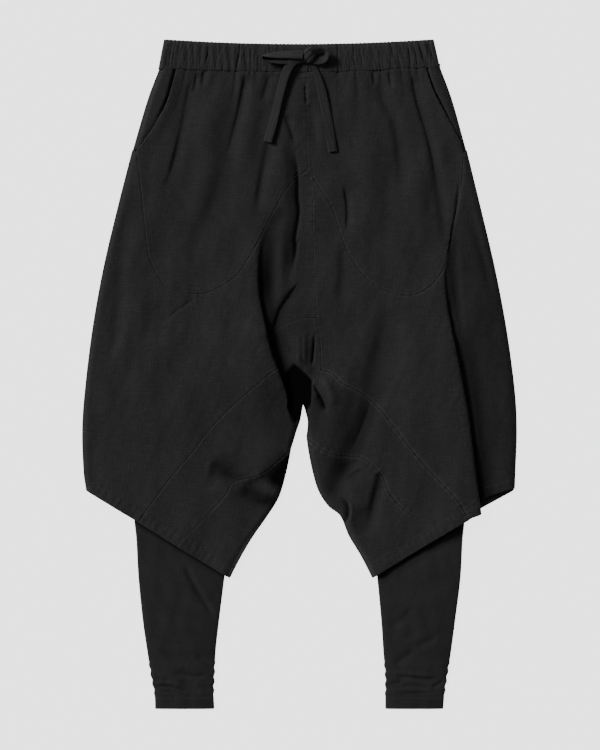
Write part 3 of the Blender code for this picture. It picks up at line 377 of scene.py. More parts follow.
# The gathers: how many fine ones there are, how unevenly they are spaced, how far they wander, and the
# share of their listed depth that the deep ones have. Then what the dice give each, in the order of the
# throws, and the unevenness of the crests between them.
GATHERS = dict(seed=11, count=48, unevenness=0.7, wander=1.6, deep=0.72)
DEEP_DRAWN = dict(wander=(-1, 1), phase=(0, 6.3), length=(20, 60))
FINE_DRAWN = dict(top=(-0.4, 0.7), foot=(0.6, 1.5), depth=(0.08, 0.45), wide=(0.7, 1.2), wander=(-1, 1),
                  phase=(0, 6.3), length=(6, 40))
BAND_SWELL = dict(seed=9, across=16.0, along=90.0, height=0.32)
BAND_SLUB = dict(seed=8, across=6.0, along=30.0, height=0.14)
# The deep gathers: where each starts and ends down the band, from 0 to 1, its depth and its width.
DEEP_GATHERS = (
    dict(across=-193, top=-0.2, foot=1.2, depth=1.5, wide=1.0),
    dict(across=-188.5, top=-0.2, foot=1.2, depth=1.3, wide=1.0),
    dict(across=-167, top=0.2, foot=1.2, depth=1.0, wide=1.2),
    dict(across=-147, top=-0.2, foot=0.8, depth=1.0, wide=1.1),
    dict(across=-139, top=0.2, foot=1.2, depth=1.2, wide=1.0),
    dict(across=-92, top=-0.2, foot=1.2, depth=2.8, wide=1.1),
    dict(across=-73, top=0.1, foot=1.2, depth=1.7, wide=1.2),
    dict(across=-62, top=0.5, foot=1.2, depth=1.6, wide=1.0),
    dict(across=57, top=-0.2, foot=1.2, depth=2.6, wide=1.1),
    dict(across=82, top=-0.2, foot=1.2, depth=1.8, wide=1.1),
    dict(across=92, top=0.1, foot=0.9, depth=1.4, wide=1.0),
    dict(across=118, top=0.6, foot=1.2, depth=2.0, wide=1.1),
    dict(across=139, top=-0.2, foot=0.7, depth=1.6, wide=1.1),
    dict(across=148, top=0.3, foot=1.2, depth=1.5, wide=1.1),
    dict(across=164, top=-0.2, foot=1.2, depth=2.2, wide=1.1),
    dict(across=173, top=0.1, foot=1.2, depth=1.9, wide=1.0),
    dict(across=182, top=-0.2, foot=0.9, depth=1.7, wide=1.0),
    dict(across=191, top=-0.2, foot=1.2, depth=1.7, wide=1.0),
    dict(across=198, top=-0.2, foot=1.2, depth=1.2, wide=1.0),
)
# How the gathers run on into the yokes: those whose foot lies past `foot` do, from `top` down and for
# `reach` at most; they fan out and widen for each millimetre below the band, and keep a share of their
# depth.
TAILS = dict(foot=0.95, top=46, reach=200, fan=0.0011, width=2.2, widening=0.09, least=0.3, share=0.9)

# The backs: their hem, a little short of the front's except at the right side, where it shows below it;
# the seam between them; how they are cut; and how their low creases lift them off the floor.
BACK_HEM_LEFT = [(-107, 795), (-319.5, 667)]
BACK_HEM_RIGHT = [(321.5, 674), (272, 701), (111, 795)]
BACK_SEAM = 6.0
BACK_CUT = dict(top=47.5, step=4.0, set_in=0.5, snap=1.2, lattice=7.0, clear=3.0)
BACK_WAVES = dict(seed=31, across=70.0, along=190.0, height=1.0)
BACK_LIFT = dict(height=0.55, start=0.6, most=1.5, edge=30.0)

# The pocket facings: how far they are tucked under the yoke and run on above the mouth, and their foot;
# their lowest height, how much higher their middle stands, how much of it stays up under the closed foot
# of the pocket mouth, and over how far they rise beside the lip and beside their own edge.
FACING_CUT = dict(tuck=9.0, above=-6, foot=(3, 2), step=2.6, set_in=0.8, lattice=2.4, clear=1.2)
FACING = dict(low=2.2, crown=5.2, shut=0.7, shut_from=85, shut_over=40, lip=0.5, lip_rise=4.5, edge=10.0,
              reach=60.0)

# Leggings: the edges of each tube, as (across, down), and its sections: where each crosses the middle of
# the leg, how much it slants to follow the hem above it, and its height.
LEGGING_EDGES = {
    "left": (
        [(-254, 650), (-248, 719), (-245, 750), (-242, 805), (-235.5, 869), (-229, 914), (-223, 952),
         (-218, 979), (-217, 1001)],
        [(-80, 690), (-98, 719), (-108, 762), (-113, 805), (-121, 869), (-126, 914), (-128, 952),
         (-129, 979), (-128, 1001)],
    ),
    "right": (
        [(90, 690), (104, 719), (111, 762), (116, 805), (122, 869), (125, 914), (128, 952), (128, 979),
         (128, 1001)],
        [(253, 650), (247, 719), (244, 750), (241, 805), (233, 869), (227, 914), (221, 952), (217, 979),
         (215, 1001)],
    ),
}
LEGGING_ROWS = (
    dict(down=702, slant=0.6, height=2.8),
    dict(down=759, slant=0.6, height=3.0),
    dict(down=772, slant=0.6, height=3.8),
    dict(down=790, slant=0.55, height=4.6),
    dict(down=830, slant=0.35, height=5.6),
    dict(down=875, slant=0.15, height=6.0),
    dict(down=915, slant=0.0, height=6.2),
    dict(down=980, slant=0.0, height=6.4),
    dict(down=1001, slant=0.0, height=5.4),
)
# How many points it has round it and down it; how high the shell's back holds it; the height of its
# rounded edges; how far a slant reaches, how square its arch is, how the wrinkles fade at its edges, and
# the half of its cut width.
LEGGING_AROUND = 120
LEGGING_DOWN = 190
LEGGING_HELD = 1.5
LEGGING_EDGE = 1.0
LEGGING_ARCH = dict(slanted=68.0, square=0.6, relief=0.5, half_round=60.0)
# Where wrinkles push its edges in and out, how close together and how far.
EDGE_WRINKLES = dict(push=0.8, close=0.44, middle=930, top=925, fade_in=12, foot=985, fade_out=8)
# Slight unevenness of each legging and of the knit.
LEGGING_WAVES = {
    "left": dict(seed=41, across=38.0, along=90.0, height=0.16),
    "right": dict(seed=42, across=38.0, along=90.0, height=0.16),
}
KNIT_WAVES = dict(seed=43, across=12.0, along=26.0, height=0.05)

# Wrinkles of the leggings: the line along each, its width and height.
LEGGING_CREASES = {
    "left": (
        dict(line=[(-174, 782), (-154, 822), (-140, 844), (-127, 868)], width=4.5, height=-2.4),
        dict(line=[(-166, 784), (-146, 818), (-132, 840)], width=7, height=1.0),
        dict(line=[(-222, 890), (-193, 902), (-165, 905)], width=4, height=-0.7),
        dict(line=[(-214, 910), (-193, 923), (-166, 937)], width=4, height=-1.1),
        dict(line=[(-208, 925), (-190, 935), (-172, 943)], width=4, height=0.6),
        dict(line=[(-156, 920), (-143, 929), (-128, 943)], width=5, height=-1.3),
        dict(line=[(-190, 946), (-161, 952), (-138, 951)], width=3.6, height=-1.9),
        dict(line=[(-220, 955), (-206, 957), (-194, 961)], width=2.6, height=-1.2),
        dict(line=[(-180, 957), (-166, 967), (-147, 976)], width=2.8, height=-1.4),
        dict(line=[(-218, 967), (-200, 967), (-184, 971), (-166, 977)], width=2.4, height=-1.8),
        dict(line=[(-216, 962), (-196, 962), (-176, 967)], width=2.6, height=0.8),
        dict(line=[(-210, 974), (-190, 976), (-172, 981)], width=2.0, height=-1.0),
        dict(line=[(-160, 962), (-140, 964), (-128, 962)], width=3.0, height=0.8),
    ),
    "right": (
        dict(line=[(170, 848), (156, 864), (134, 881)], width=6, height=-1.1),
        dict(line=[(206, 890), (196, 898), (175, 908)], width=5, height=-1.2),
        dict(line=[(196, 884), (176, 894), (158, 904)], width=6, height=0.7),
        dict(line=[(172, 912), (160, 921), (140, 937)], width=5, height=-1.3),
        dict(line=[(142, 951), (155, 953), (180, 956), (208, 958)], width=3.0, height=-1.9),
        dict(line=[(142, 946), (170, 949), (205, 951)], width=3.0, height=0.8),
        dict(line=[(128, 967), (138, 964), (154, 961)], width=3.4, height=-1.4),
        dict(line=[(198, 968), (206, 965), (216, 958)], width=3.0, height=-1.7),
        dict(line=[(150, 967), (170, 966), (194, 971)], width=2.8, height=-1.1),
        dict(line=[(132, 974), (165, 972), (206, 977)], width=2.4, height=0.8),
        dict(line=[(150, 979), (180, 977), (212, 975)], width=2.0, height=-0.9),
    ),
}

# Drawstring: the middle of the tape, its height above the cloth below it, how far it is turned over, and
# how much of its width is left where the knot squeezes it.
KNOT = dict(across=14.5, down=23.5, height=13.2, size=(20.0, 24.0, 11.5), rows=60, around=96)
# Grooves between the turns of the knot: the direction across each, how far out it lies, its width and
# depth.
KNOT_GROOVES = (
    dict(across=(0.62, 0.78), out=-0.44, width=0.11, depth=0.17),
    dict(across=(0.62, 0.78), out=0.30, width=0.10, depth=0.17),
    dict(across=(0.50, 0.87), out=-0.04, width=0.06, depth=0.05),
    dict(across=(0.95, -0.30), out=0.66, width=0.10, depth=0.10),
)
TAPES = {
    "cord_loop_right_tail_left": (
        dict(across=17, down=21, lift=6.4, turn=34),
        dict(across=25, down=18.6, lift=6.8, turn=36),
        dict(across=33, down=17.6, lift=6.8, turn=44),
        dict(across=38.4, down=19.2, lift=6.6, turn=56),
        dict(across=39.6, down=23.4, lift=6.4, turn=60),
        dict(across=38, down=27.6, lift=5.6, turn=48),
        dict(across=33, down=30, lift=4.6, turn=28),
        dict(across=26, down=30.3, lift=4.2, turn=14),
        dict(across=18, down=28.4, lift=4.2, turn=6),
        dict(across=10, down=26.8, lift=4.4, turn=0),
        dict(across=0.5, down=27.3, lift=5.2, turn=-8),
        dict(across=-9, down=31, lift=5.8, turn=-4),
        dict(across=-16.5, down=40, lift=5.4, turn=8),
        dict(across=-22.8, down=54, lift=4.2, turn=17),
        dict(across=-29.4, down=77, lift=3.5, turn=20),
        dict(across=-35, down=100, lift=3.4, turn=20),
        dict(across=-40.4, down=123, lift=3.4, turn=20),
        dict(across=-48.6, down=152, lift=3.3, turn=19),
    ),
    "cord_loop_left_tail_right": (
        dict(across=4, down=22.6, lift=8.4, turn=14),
        dict(across=-14, down=22.2, lift=7.2, turn=28),
        dict(across=-34, down=22.4, lift=5.2, turn=36),
        dict(across=-46, down=23.0, lift=5.8, turn=50),
        dict(across=-53, down=24.0, lift=6.5, turn=66),
        dict(across=-56.6, down=26.0, lift=6.8, turn=80),
        dict(across=-54, down=28.2, lift=6.4, turn=66),
        dict(across=-47, down=29.8, lift=5.6, turn=48),
        dict(across=-34, down=30.4, lift=4.8, turn=34),
        dict(across=-16, down=30.0, lift=3.4, turn=18),
        dict(across=2, down=28.8, lift=1.8, turn=0),
        dict(across=12.5, down=31, lift=1.8, turn=0, wide=0.5),
        dict(across=19.5, down=37.2, lift=1.8, turn=4, wide=0.45),
        dict(across=23.5, down=46, lift=1.9, turn=6, wide=0.6),
        dict(across=27, down=57, lift=2.0, turn=8, wide=0.8),
        dict(across=32.2, down=77, lift=1.9, turn=6),
        dict(across=37.6, down=100, lift=1.7, turn=4),
        dict(across=42.6, down=126, lift=1.7, turn=1),
        dict(across=48.8, down=166.5, lift=1.7, turn=0),
    ),
}
# The CAD's pieces of tape that each length stands for.
TAPE_NODES = {
    "cord_loop_right_tail_left": ("drawstring_loop_right", "drawstring_tail_left"),
    "cord_loop_left_tail_right": ("drawstring_loop_left", "drawstring_tail_right"),
}
# How many of a tape's first stations give its lean towards the waist's top instead of its turn, where it
# runs across the trousers.
LEANING = {"cord_loop_left_tail_right": 10}
# The turned ends of the tape: how long and how much thicker they are, where the rows of stitches cross
# them, from the end, and how far in those rows stop. TAPE_STEP is how close its sections lie, and
# TAPE_PARTS how many parts each face of it has across.
TAPE_ENDS = dict(turned=14.5, thicker=0.4, stitches=(6.5, 13.0), inset=1.6)
TAPE_STEP = 1.6
TAPE_PARTS = 10
# The cloth that the tape lies on: the height of the waistband at parts of the way down it, from its top,
# and the swell of the yokes below it, with how far that takes to fade.
BED = dict(top=5.0, parts=(0, 0.22, 0.78, 1), heights=(5.4, 7.4, 7.4, 6.8), swell=0.6, fade=60.0)

# The seams of the front: how deep the groove along each is, how strongly it puckers, and the seed of its
# puckers. `shows` is the part of the way along it that a seam shows for, where it doesn't all the way, and
# the last number, where given, is how much paler its felled edges are: worn paler, and a painted highlight
# of their lit ridges. SEAM_FADE is how softly a seam stops showing.
SEAMS = {
    "centre_high": dict(deep=0.1, pucker=0.22, seed=11),
    "centre_low": dict(deep=0.0, pucker=0.15, seed=10),
    "centre_crotch": dict(deep=0.15, pucker=0.2, seed=13),
    "crotch": dict(deep=0.1, pucker=0.1, seed=6),
    "yoke_seam_left": dict(deep=0.4, pucker=0.2, seed=14),
    "yoke_seam_right": dict(deep=0.4, pucker=0.2, seed=15, rubbed_and_lit=0.4),
    "diagonal_left": dict(deep=0.45, pucker=0.26, seed=13, rubbed_and_lit=0.3),
    "diagonal_right": dict(deep=0.6, pucker=0.3, seed=14, rubbed_and_lit=1.3),
    "inner_seam_left": dict(deep=0.5, pucker=0.32, seed=15, rubbed_and_lit=0.7, shows=0.78),
    "inner_seam_right": dict(deep=0.6, pucker=0.32, seed=16, rubbed_and_lit=0.9, shows=0.85),
}
SEAM_FADE = 0.12
# The strips at both sides of a seam that are worn paler and painted as lit ridges: how far off it, and how
# wide.
FELLED = dict(off=2.4, width=1.1, reach=8.0)
# The widths of the puckers, of the swelling and of the groove at a seam, and the swelling's height; the
# tucks at the foot of the waistband; and how long puckers are.
SEAM_SHAPE = dict(reach=24.0, puckered=10.0, squash=0.4, swollen=6.0, swelling=0.25, groove=1.0)
WAIST_TUCKS = dict(seed=17, height=0.25, groove=0.2, width=2.0)
PUCKER_LENGTHS = dict(across=9.0, along=60.0)
# The turned hems, from the edge in: where the stitches, the middle of the puckers and the end of the turned
# cloth lie, with the widths and depths of each.
HEM_SHAPE = dict(reach=30.0, stitches=14.0, groove=1.2, deep=0.6, puckers=11.0, puckered=8.0, squash=0.3,
                 turned=15.5, step=3.0, thick=0.8)
HEM_PUCKERS = dict(seed=21, across=10.0, along=50.0, height=0.3)

# Rows of topstitching: how far to the right of each seam, going down it, and above each hem.
STITCH_ROWS = {
    "yoke_seam_left": (1.9, 8.6),
    "yoke_seam_right": (1.9, 8.6),
    "centre_crotch": (-2.2, 2.2),
    "diagonal_left": (-6.6, 1.9),
    "diagonal_right": (-1.9, 6.6),
    "inner_seam_left": (1.9,),
    "inner_seam_right": (-1.9,),
    "pocket_left": (1.6, 11.2),
    "pocket_right": (-1.6, -11.2),
}
STITCH_HEMS = (
    (("hem_left_outer", "hem_left_middle", "hem_left_inner"), 14.0),
    (("hem_right_middle", "hem_right_inner"), -14.0),
    (("hem_right_outer",), -14.0),
)
# How high a stitch lies over the cloth, and the finer stitches of the tape's ends and of the cuffs.
STITCH_HEIGHT = 0.12
FINE_HEIGHT = 0.1
TAIL_STITCH = dict(step=2.0, long=1.5, wide=0.6)
CUFF_STITCH = dict(step=2.8, long=1.9, wide=0.6)
# The hem of the leggings: its row of stitches, the groove there and the turned jersey below it.
LEGGING_HEM = dict(stitches=983.0, deep=0.5, groove=1.1, thick=0.35, step=1.5)

# Wear and painted shading, in steps of a finish's own share: cut rims have rubbed paler, and the whole
# waistband is painted a little paler; painted shade darkens the cloth beside the rolled edges and the
# leggings just below the hems; and before the seams' paler strips are added, nothing is further below zero
# than the last number.
RIM_WEAR = dict(pale=0.3, reach=1.6)
BAND_PAINTED_PALER = 0.28
EDGE_SHADE = dict(painted_shading=2.2, reach=2.4)
LEGGING_SHADE = dict(painted_shading=2.7, reach=4.5)
DEEPEST_SHADE = 3.25

# Finishes: the colour, the gloss, the share of the colour that wear and painted shading change, the sizes
# of threads, ribs and knitted stitches in metres, how fine the slubs are, and how deep the surface is in
# metres.
WEAVE = dict(colour=(0.0246, 0.0246, 0.0248), roughness=0.92, specular=0.06, sheen=0.01, wear_and_shading=0.3,
             thread=0.0009, slub=420.0, depth=0.00035)
TAPE_FINISH = dict(colour=(0.0240, 0.0240, 0.0243), roughness=0.92, specular=0.06, sheen=0.01,
                   rib=0.0009, pick=0.0008, depth=0.0003)
JERSEY_FINISH = dict(colour=(0.0186, 0.0186, 0.0188), roughness=0.85, specular=0.07, sheen=0.01, wear_and_shading=0.3,
                     column=0.0011, course=0.0009, depth=0.00022)
THREAD = dict(colour=(0.033, 0.033, 0.0333), roughness=0.62, specular=0.3, sheen=0.0, depth=0.0001)
# The floor: its half width and height in metres too, and how much it glows by itself.
FLOOR = dict(colour=(0.2, 0.2, 0.2), roughness=0.9, specular=0.1, sheen=0.0, half=4.0, height=-0.0006,
             glow_colour=(1.0, 1.0, 1.0), glow=2.62)


def smooth_step(value):
    """0 to 1 with level ends."""
    part = np.clip(value, 0.0, 1.0)
    return part * part * (3.0 - 2.0 * part)


def bell(gap, width):
    """1 in the middle of something, falling away from it over a width."""
    return np.exp(-((gap / width) ** 2))


def fading_ends(along, first, last):
    """1 along a run from 0 to 1, but fading in over its first part and out over its last."""
    return smooth_step(along / first) * smooth_step((1 - along) / last)


def curve_through(points, parts=12):
    """A smooth curve through the points: a Catmull-Rom spline, `parts` short runs for each span."""
    p = np.array(points, float)
    p = np.vstack([2 * p[0] - p[1], p, 2 * p[-1] - p[-2]])
    t = np.linspace(0, 1, parts, endpoint=False)[:, None]
    runs = []
    for a, b, c, d in zip(p, p[1:], p[2:], p[3:]):
        runs.append(0.5 * (2 * b + (c - a) * t + (2 * a - 5 * b + 4 * c - d) * t**2
                           + (3 * b - a - 3 * c + d) * t**3))
    return np.vstack([*runs, p[-2:-1]])


def reach_along(line):
    """How far along a line each of its points lies."""
    return np.concatenate([[0], np.cumsum(np.linalg.norm(np.diff(line, axis=0), axis=1))])


def evenly(line, step, offset=0.0):
    """Points along a line at an even step, moved off it to the right going down by the offset."""
    reach = reach_along(line)
    at = np.linspace(0, reach[-1], max(2, round(reach[-1] / step) + 1))
    points = np.column_stack([np.interp(at, reach, line[:, k]) for k in range(line.shape[1])])
    slope = np.gradient(points[:, :2], axis=0)
    slope /= np.linalg.norm(slope, axis=1)[:, None]
    points[:, :2] += offset * np.column_stack([slope[:, 1], -slope[:, 0]])
    return points


def beside(lines, step, gaps, sides=(-1, 1)):
    """Rows of points at both sides of each line, at each of the gaps from it."""
    return [evenly(line, step, side * gap) for line in lines for gap in gaps for side in sides]


def measure(points, line):
    """For flat points: their distance to a line, plus on its right going down, how far along it they lie
    from 0 to 1, and the direction straight across it there."""
    start, run = line[:-1], np.diff(line, axis=0)
    length = np.linalg.norm(run, axis=1)
    reach = reach_along(line)
    away = points[:, None] - start
    part = np.clip((away * run).sum(2) / length**2, 0, 1)
    gap = np.linalg.norm(away - part[..., None] * run, axis=2)
    near = gap.argmin(1)
    pick = np.arange(len(points)), near
    side = np.where(run[near, 1] * away[pick][:, 0] - run[near, 0] * away[pick][:, 1] >= 0, 1.0, -1.0)
    slope = np.gradient(line, axis=0)
    part = part[pick]
    ahead = slope[near] * (1 - part)[:, None] + slope[near + 1] * part[:, None]
    across = np.column_stack([ahead[:, 1], -ahead[:, 0]])
    across /= np.linalg.norm(across, axis=1)[:, None]
    return gap[pick] * side, (reach[near] + part * length[near]) / reach[-1], across


def measure_near(points, line, reach):
    """measure() for the points in reach of the line alone, with which points they are in front."""
    low, high = line.min(0) - reach, line.max(0) + reach
    pick = np.flatnonzero(((points > low) & (points < high)).all(1))
    return (pick, *measure(points[pick], line))


def distance_to(lines, points, reach):
    """How far each flat point is from the nearest of the lines, or FAR where none is in reach."""
    gap = np.full(len(points), FAR)
    for line in lines:
        pick, here, _, _ = measure_near(points, line, reach)
        gap[pick] = np.minimum(gap[pick], np.abs(here))
    return gap


def waves(points, seed, across, along, height):
    """Uneven waves, mostly across the grain: a sum of sines whose height is its root mean square."""
    dice = random.Random(seed)
    total = np.zeros(len(points))
    count = 14
    for _ in range(count):
        side = 2 * math.pi / across * dice.uniform(0.55, 1.6)
        down = 2 * math.pi / along * dice.uniform(-1.6, 1.6)
        total += np.sin(points[:, 0] * side + points[:, 1] * down + dice.uniform(0, 2 * math.pi))
    return height * total / math.sqrt(count / 2)


def drawn(dice, ranges):
    """One throw of the dice for each named range."""
    return {name: dice.uniform(*limits) for name, limits in ranges.items()}


def band_gathers():
    """The valleys between the gathers of the waistband: where they lie from 0 to 1, where each starts and
    ends down the band, how deep and wide they are, how far they wander, and how far they run on below it."""
    dice = random.Random(GATHERS["seed"])
    left, right = (0.5 * sum(end) for end in (BAND_LEFT, BAND_RIGHT))
    rows = []
    for row in DEEP_GATHERS:
        at = (row["across"] - left) / (right - left)
        rows.append({**row, "at": at, "depth": row["depth"] * GATHERS["deep"], **drawn(dice, DEEP_DRAWN)})
    widths = [1 + GATHERS["unevenness"] * dice.uniform(-1, 1) for _ in range(GATHERS["count"])]
    at = 0.0
    for width in widths[:-1]:
        at += width / sum(widths)
        rows.append({"at": at, **drawn(dice, FINE_DRAWN)})
    return rows


EDGE_CURVES = [
    np.vstack([curve_through(LINES[high]), curve_through(LINES[low])[1:]]) for high, low in ROLLED
]
FOLD_CURVES = {name: curve_through(fold["line"], 6) for name, fold in FOLDS.items()}
CREASE_CURVES = [(row, curve_through(row["line"], 5)) for row in CREASES]
HEM_CURVES = [curve_through(LINES[name], 6) for name in HEMS]
WAIST_LINE = curve_through([*LINES["waist_left"], *LINES["waist_right"][1:]])
SEAM_CURVES = {name: curve_through(LINES[name], 8) for name in SEAMS}
BAND_GATHERS = band_gathers()


def fold_strength(name, along, kind="fade"):
    """How far a fold has opened, 0 to 1, at a place along it."""
    length = reach_along(FOLD_CURVES[name])[-1]
    first, last = FOLDS[name][kind]
    strength = smooth_step(along * length / first)
    return strength * smooth_step((1 - along) * length / last) if last else strength


def seam_shows(seam, along):
    """How much of a seam shows, 0 to 1, at a place along it."""
    return smooth_step((seam.get("shows", 2.0) - along) / SEAM_FADE)


def crease_share(points, row, line):
    """Which points lie near a crease, and how strongly it shows at each."""
    pick, gap, along, _ = measure_near(points, line, CREASE_REACH * max(row["width"]))
    width = np.where(gap < 0, *row["width"])
    return pick, bell(gap, width) * fading_ends(along, *row.get("ends", CREASE_ENDS))


def crease_relief(points, edge):
    """The soft ridges and troughs of the table, for points this far from the trousers' own edge."""
    relief = np.zeros(len(points))
    for row, line in CREASE_CURVES:
        pick, share = crease_share(points, row, line)
        relief[pick] += row["height"] * share * smooth_step(edge[pick] / row.get("edge", RELIEF_FADE))
    return relief


def gather_relief(points):
    """The gathers that run on down from the waistband into the yokes."""
    relief = np.zeros(len(points))
    pick = np.flatnonzero(points[:, 1] < BAND_FOOT + TAILS["reach"])
    across, down = points[pick].T
    below = down - BAND_FOOT
    left, right = BAND_LEFT[1], BAND_RIGHT[1]
    for row in BAND_GATHERS:
        if row["foot"] <= TAILS["foot"]:
            continue
        middle = (left + (right - left) * row["at"]) * (1 + below * TAILS["fan"]) + 2 * row["wander"]
        width = TAILS["width"] + below * TAILS["widening"]
        fade = np.exp(-np.clip(down - TAILS["top"], 0, None) / row["length"])
        depth = TAILS["least"] + TAILS["share"] * row["depth"]
        relief[pick] -= depth * bell(across - middle, width) * fade
    return relief


def seam_relief(points):
    """The groove along each seam, the swelling and the puckers beside it, and the tucks at the waist."""
    relief = np.zeros(len(points))
    for name, seam in SEAMS.items():
        line = SEAM_CURVES[name]
        pick, gap, along, _ = measure_near(points, line, SEAM_SHAPE["reach"])
        spots = np.column_stack([along * reach_along(line)[-1], gap * SEAM_SHAPE["squash"]])
        pucker = waves(spots, seed=seam["seed"], height=seam["pucker"], **PUCKER_LENGTHS)
        groove = pucker * bell(gap, SEAM_SHAPE["puckered"])
        groove += SEAM_SHAPE["swelling"] * bell(gap, SEAM_SHAPE["swollen"])
        groove -= seam["deep"] * bell(gap, SEAM_SHAPE["groove"])
        relief[pick] += groove * seam_shows(seam, along)
    waist = np.interp(points[:, 0], WAIST_LINE[:, 0], WAIST_LINE[:, 1])
    tucks = waves(points, seed=WAIST_TUCKS["seed"], height=WAIST_TUCKS["height"], **PUCKER_LENGTHS)
    return relief + (tucks - WAIST_TUCKS["groove"]) * bell(points[:, 1] - waist, WAIST_TUCKS["width"])


def hollow_share(points, hollow):
    """How far into a hollow each point lies, 0 to 1."""
    share = np.ones(len(points))
    corners = hollow["corners"]
    for (x0, y0, soft), (x1, y1, _) in zip(corners, (*corners[1:], corners[0])):
        run = np.array([x1 - x0, y1 - y0])
        gap = (run[0] * (points[:, 1] - y0) - run[1] * (points[:, 0] - x0)) / np.linalg.norm(run)
        share *= smooth_step(gap / soft)
    return share


def hem_relief(points):
    """The turned hems: a double edge, with a groove and puckers at the row of stitches."""
    gap = np.full(len(points), FAR)
    reach = np.zeros(len(points))
    for line in HEM_CURVES:
        pick, here, along, _ = measure_near(points, line, HEM_SHAPE["reach"])
        closer = np.abs(here) < gap[pick]
        gap[pick[closer]] = np.abs(here[closer])
        reach[pick[closer]] = along[closer] * reach_along(line)[-1]
    relief = HEM_SHAPE["thick"] * (1 - smooth_step((gap - HEM_SHAPE["turned"]) / HEM_SHAPE["step"]))
    relief -= HEM_SHAPE["deep"] * bell(gap - HEM_SHAPE["stitches"], HEM_SHAPE["groove"])
    pucker = waves(np.column_stack([reach, gap * HEM_SHAPE["squash"]]), **HEM_PUCKERS)
    return relief + pucker * bell(gap - HEM_SHAPE["puckers"], HEM_SHAPE["puckered"])


def drape(points):
    """Where flat points of the front lie once the trousers are laid out: across, down, height in mm."""
    points = np.asarray(points, float)
    relief = gather_relief(points)
    shift = np.zeros((len(points), 2))
    for name, fold in FOLDS.items():
        gap, along, across = measure(points, FOLD_CURVES[name])
        strength = fold_strength(name, along)
        lift = fold_strength(name, along, "lift_fade")
        half = fold["half"]
        turn = np.clip(gap / half, -1, 1)
        left = bell(np.clip(-gap - half, 0, None), fold["spread"])
        right = bell(np.clip(gap - half, 0, None), fold["reach"])
        relief += fold["height"] * lift * left * 0.5 * (1 - np.sin(turn * math.pi / 2))
        relief -= fold["hollow"] * lift * right * 0.5 * (1 + np.sin(turn * math.pi / 2))
        shift -= (fold["swing"] * strength * np.sin(math.pi * turn))[:, None] * across
    for row in RUMPLE:
        relief += waves(points, **row)
    edge = distance_to(EDGE_CURVES, points, RELIEF_FADE)
    relief *= smooth_step(edge / RELIEF_FADE)
    relief += crease_relief(points, edge)
    relief += (hem_relief(points) + seam_relief(points)) * smooth_step(edge / SEWN_FADE)
    body = np.where(relief > 0, LOFT + relief, LOFT * np.exp(np.minimum(relief, 0) / LOFT))
    rise = 1 - (1 - np.clip(edge / EDGE_ROLL, 0, 1)) ** 2
    height = EDGE_HEIGHT + rise * body
    for hollow in HOLLOWS:
        share = hollow_share(points, hollow)
        height = height * (1 - share) + hollow["floor"] * share
    return np.column_stack([points + shift, height])


def drape_facing(points):
    """The pocket facing lies under the yoke: raised in its middle, and down where it slips under the lip."""
    laid = drape(points)
    outer = distance_to(EDGE_CURVES[:2], points, FACING["edge"])
    lip = np.full(len(points), FAR)
    for name, side in (("pocket_left", 1), ("pocket_right", -1)):
        pick, gap, _, _ = measure_near(points, curve_through(LINES[name]), FACING["reach"])
        lip[pick] = np.minimum(lip[pick], np.clip(-side * gap, 0, None))
    shut = FACING["shut"] * smooth_step((points[:, 1] - FACING["shut_from"]) / FACING["shut_over"])
    opened = smooth_step((lip - FACING["lip"]) / FACING["lip_rise"])
    crown = smooth_step(outer / FACING["edge"]) * (shut + (1 - shut) * opened)
    laid[:, 2] = FACING["low"] + FACING["crown"] * crown
    return laid


def lay_back(points):
    """The back lies on the floor, with low creases that lift off it here and there."""
    crease = waves(points, **BACK_WAVES)
    edge = distance_to(EDGE_CURVES, points, BACK_LIFT["edge"])
    lift = BACK_LIFT["height"] * np.clip(crease - BACK_LIFT["start"], 0, BACK_LIFT["most"])
    return np.column_stack([points, CLOTH / 2 + lift * smooth_step(edge / BACK_LIFT["edge"])])


def surface_normals(points, lay):
    """Straight out of the cloth at each flat point."""
    step = 0.05
    here = lay(points)
    right = lay(points + [step, 0]) - here
    down = lay(points + [0, step]) - here
    normal = np.cross(right, down)
    return normal / np.linalg.norm(normal, axis=1)[:, None]


def place(laid):
    """Millimetres of the layout to metres of the part's frame, for an array of across, down, height."""
    laid = np.asarray(laid, float)
    across, down, height = laid[..., 0], laid[..., 1], laid[..., 2]
    return np.stack([(across - MIDDLE["across"]) * MM, (MIDDLE["down"] - down) * MM, height * MM], -1)


def outline_of(names):
    """The closed outline round a piece, from its lines. Both pieces at a seam share the seam's points."""
    runs = []
    for name in names:
        points = evenly(curve_through(LINES[name.lstrip("-")], 24), SEAM_STEP)
        runs.append((points[::-1] if name.startswith("-") else points)[:-1])
    return np.vstack(runs)


def flat_area(outline):
    """The area inside an outline, plus or minus by the way round."""
    x, y = outline.T
    return 0.5 * np.sum(x * np.roll(y, -1) - y * np.roll(x, -1))


def set_in(outline, distance):
    """The outline moved inwards by a distance."""
    way_round = math.copysign(1, flat_area(outline))
    inward = []
    for run in (outline - np.roll(outline, 1, 0), np.roll(outline, -1, 0) - outline):
        unit = run / np.linalg.norm(run, axis=1)[:, None]
        inward.append(np.column_stack([-unit[:, 1], unit[:, 0]]) * way_round)
    middle = inward[0] + inward[1]
    middle /= np.maximum((middle**2).sum(1) / 2, 0.5)[:, None]
    return outline + middle * distance


def inside(points, outline):
    """Whether flat points lie inside an outline."""
    x0, y0 = outline.T
    x1, y1 = np.roll(x0, -1), np.roll(y0, -1)
    found = np.zeros(len(points), bool)
    batch = 4000
    for first in range(0, len(points), batch):
        x, y = points[first:first + batch, :1], points[first:first + batch, 1:]
        crosses = (y0 > y) != (y1 > y)
        with np.errstate(divide="ignore", invalid="ignore"):
            at = (x1 - x0) * (y - y0) / (y1 - y0) + x0
        found[first:first + batch] = (crosses & (x < at)).sum(1) % 2 == 1
    return found


def tree_of(points):
    """A search tree of flat points."""
    tree = KDTree(len(points))
    for k, (x, y) in enumerate(points):
        tree.insert((x, y, 0), k)
    tree.balance()
    return tree


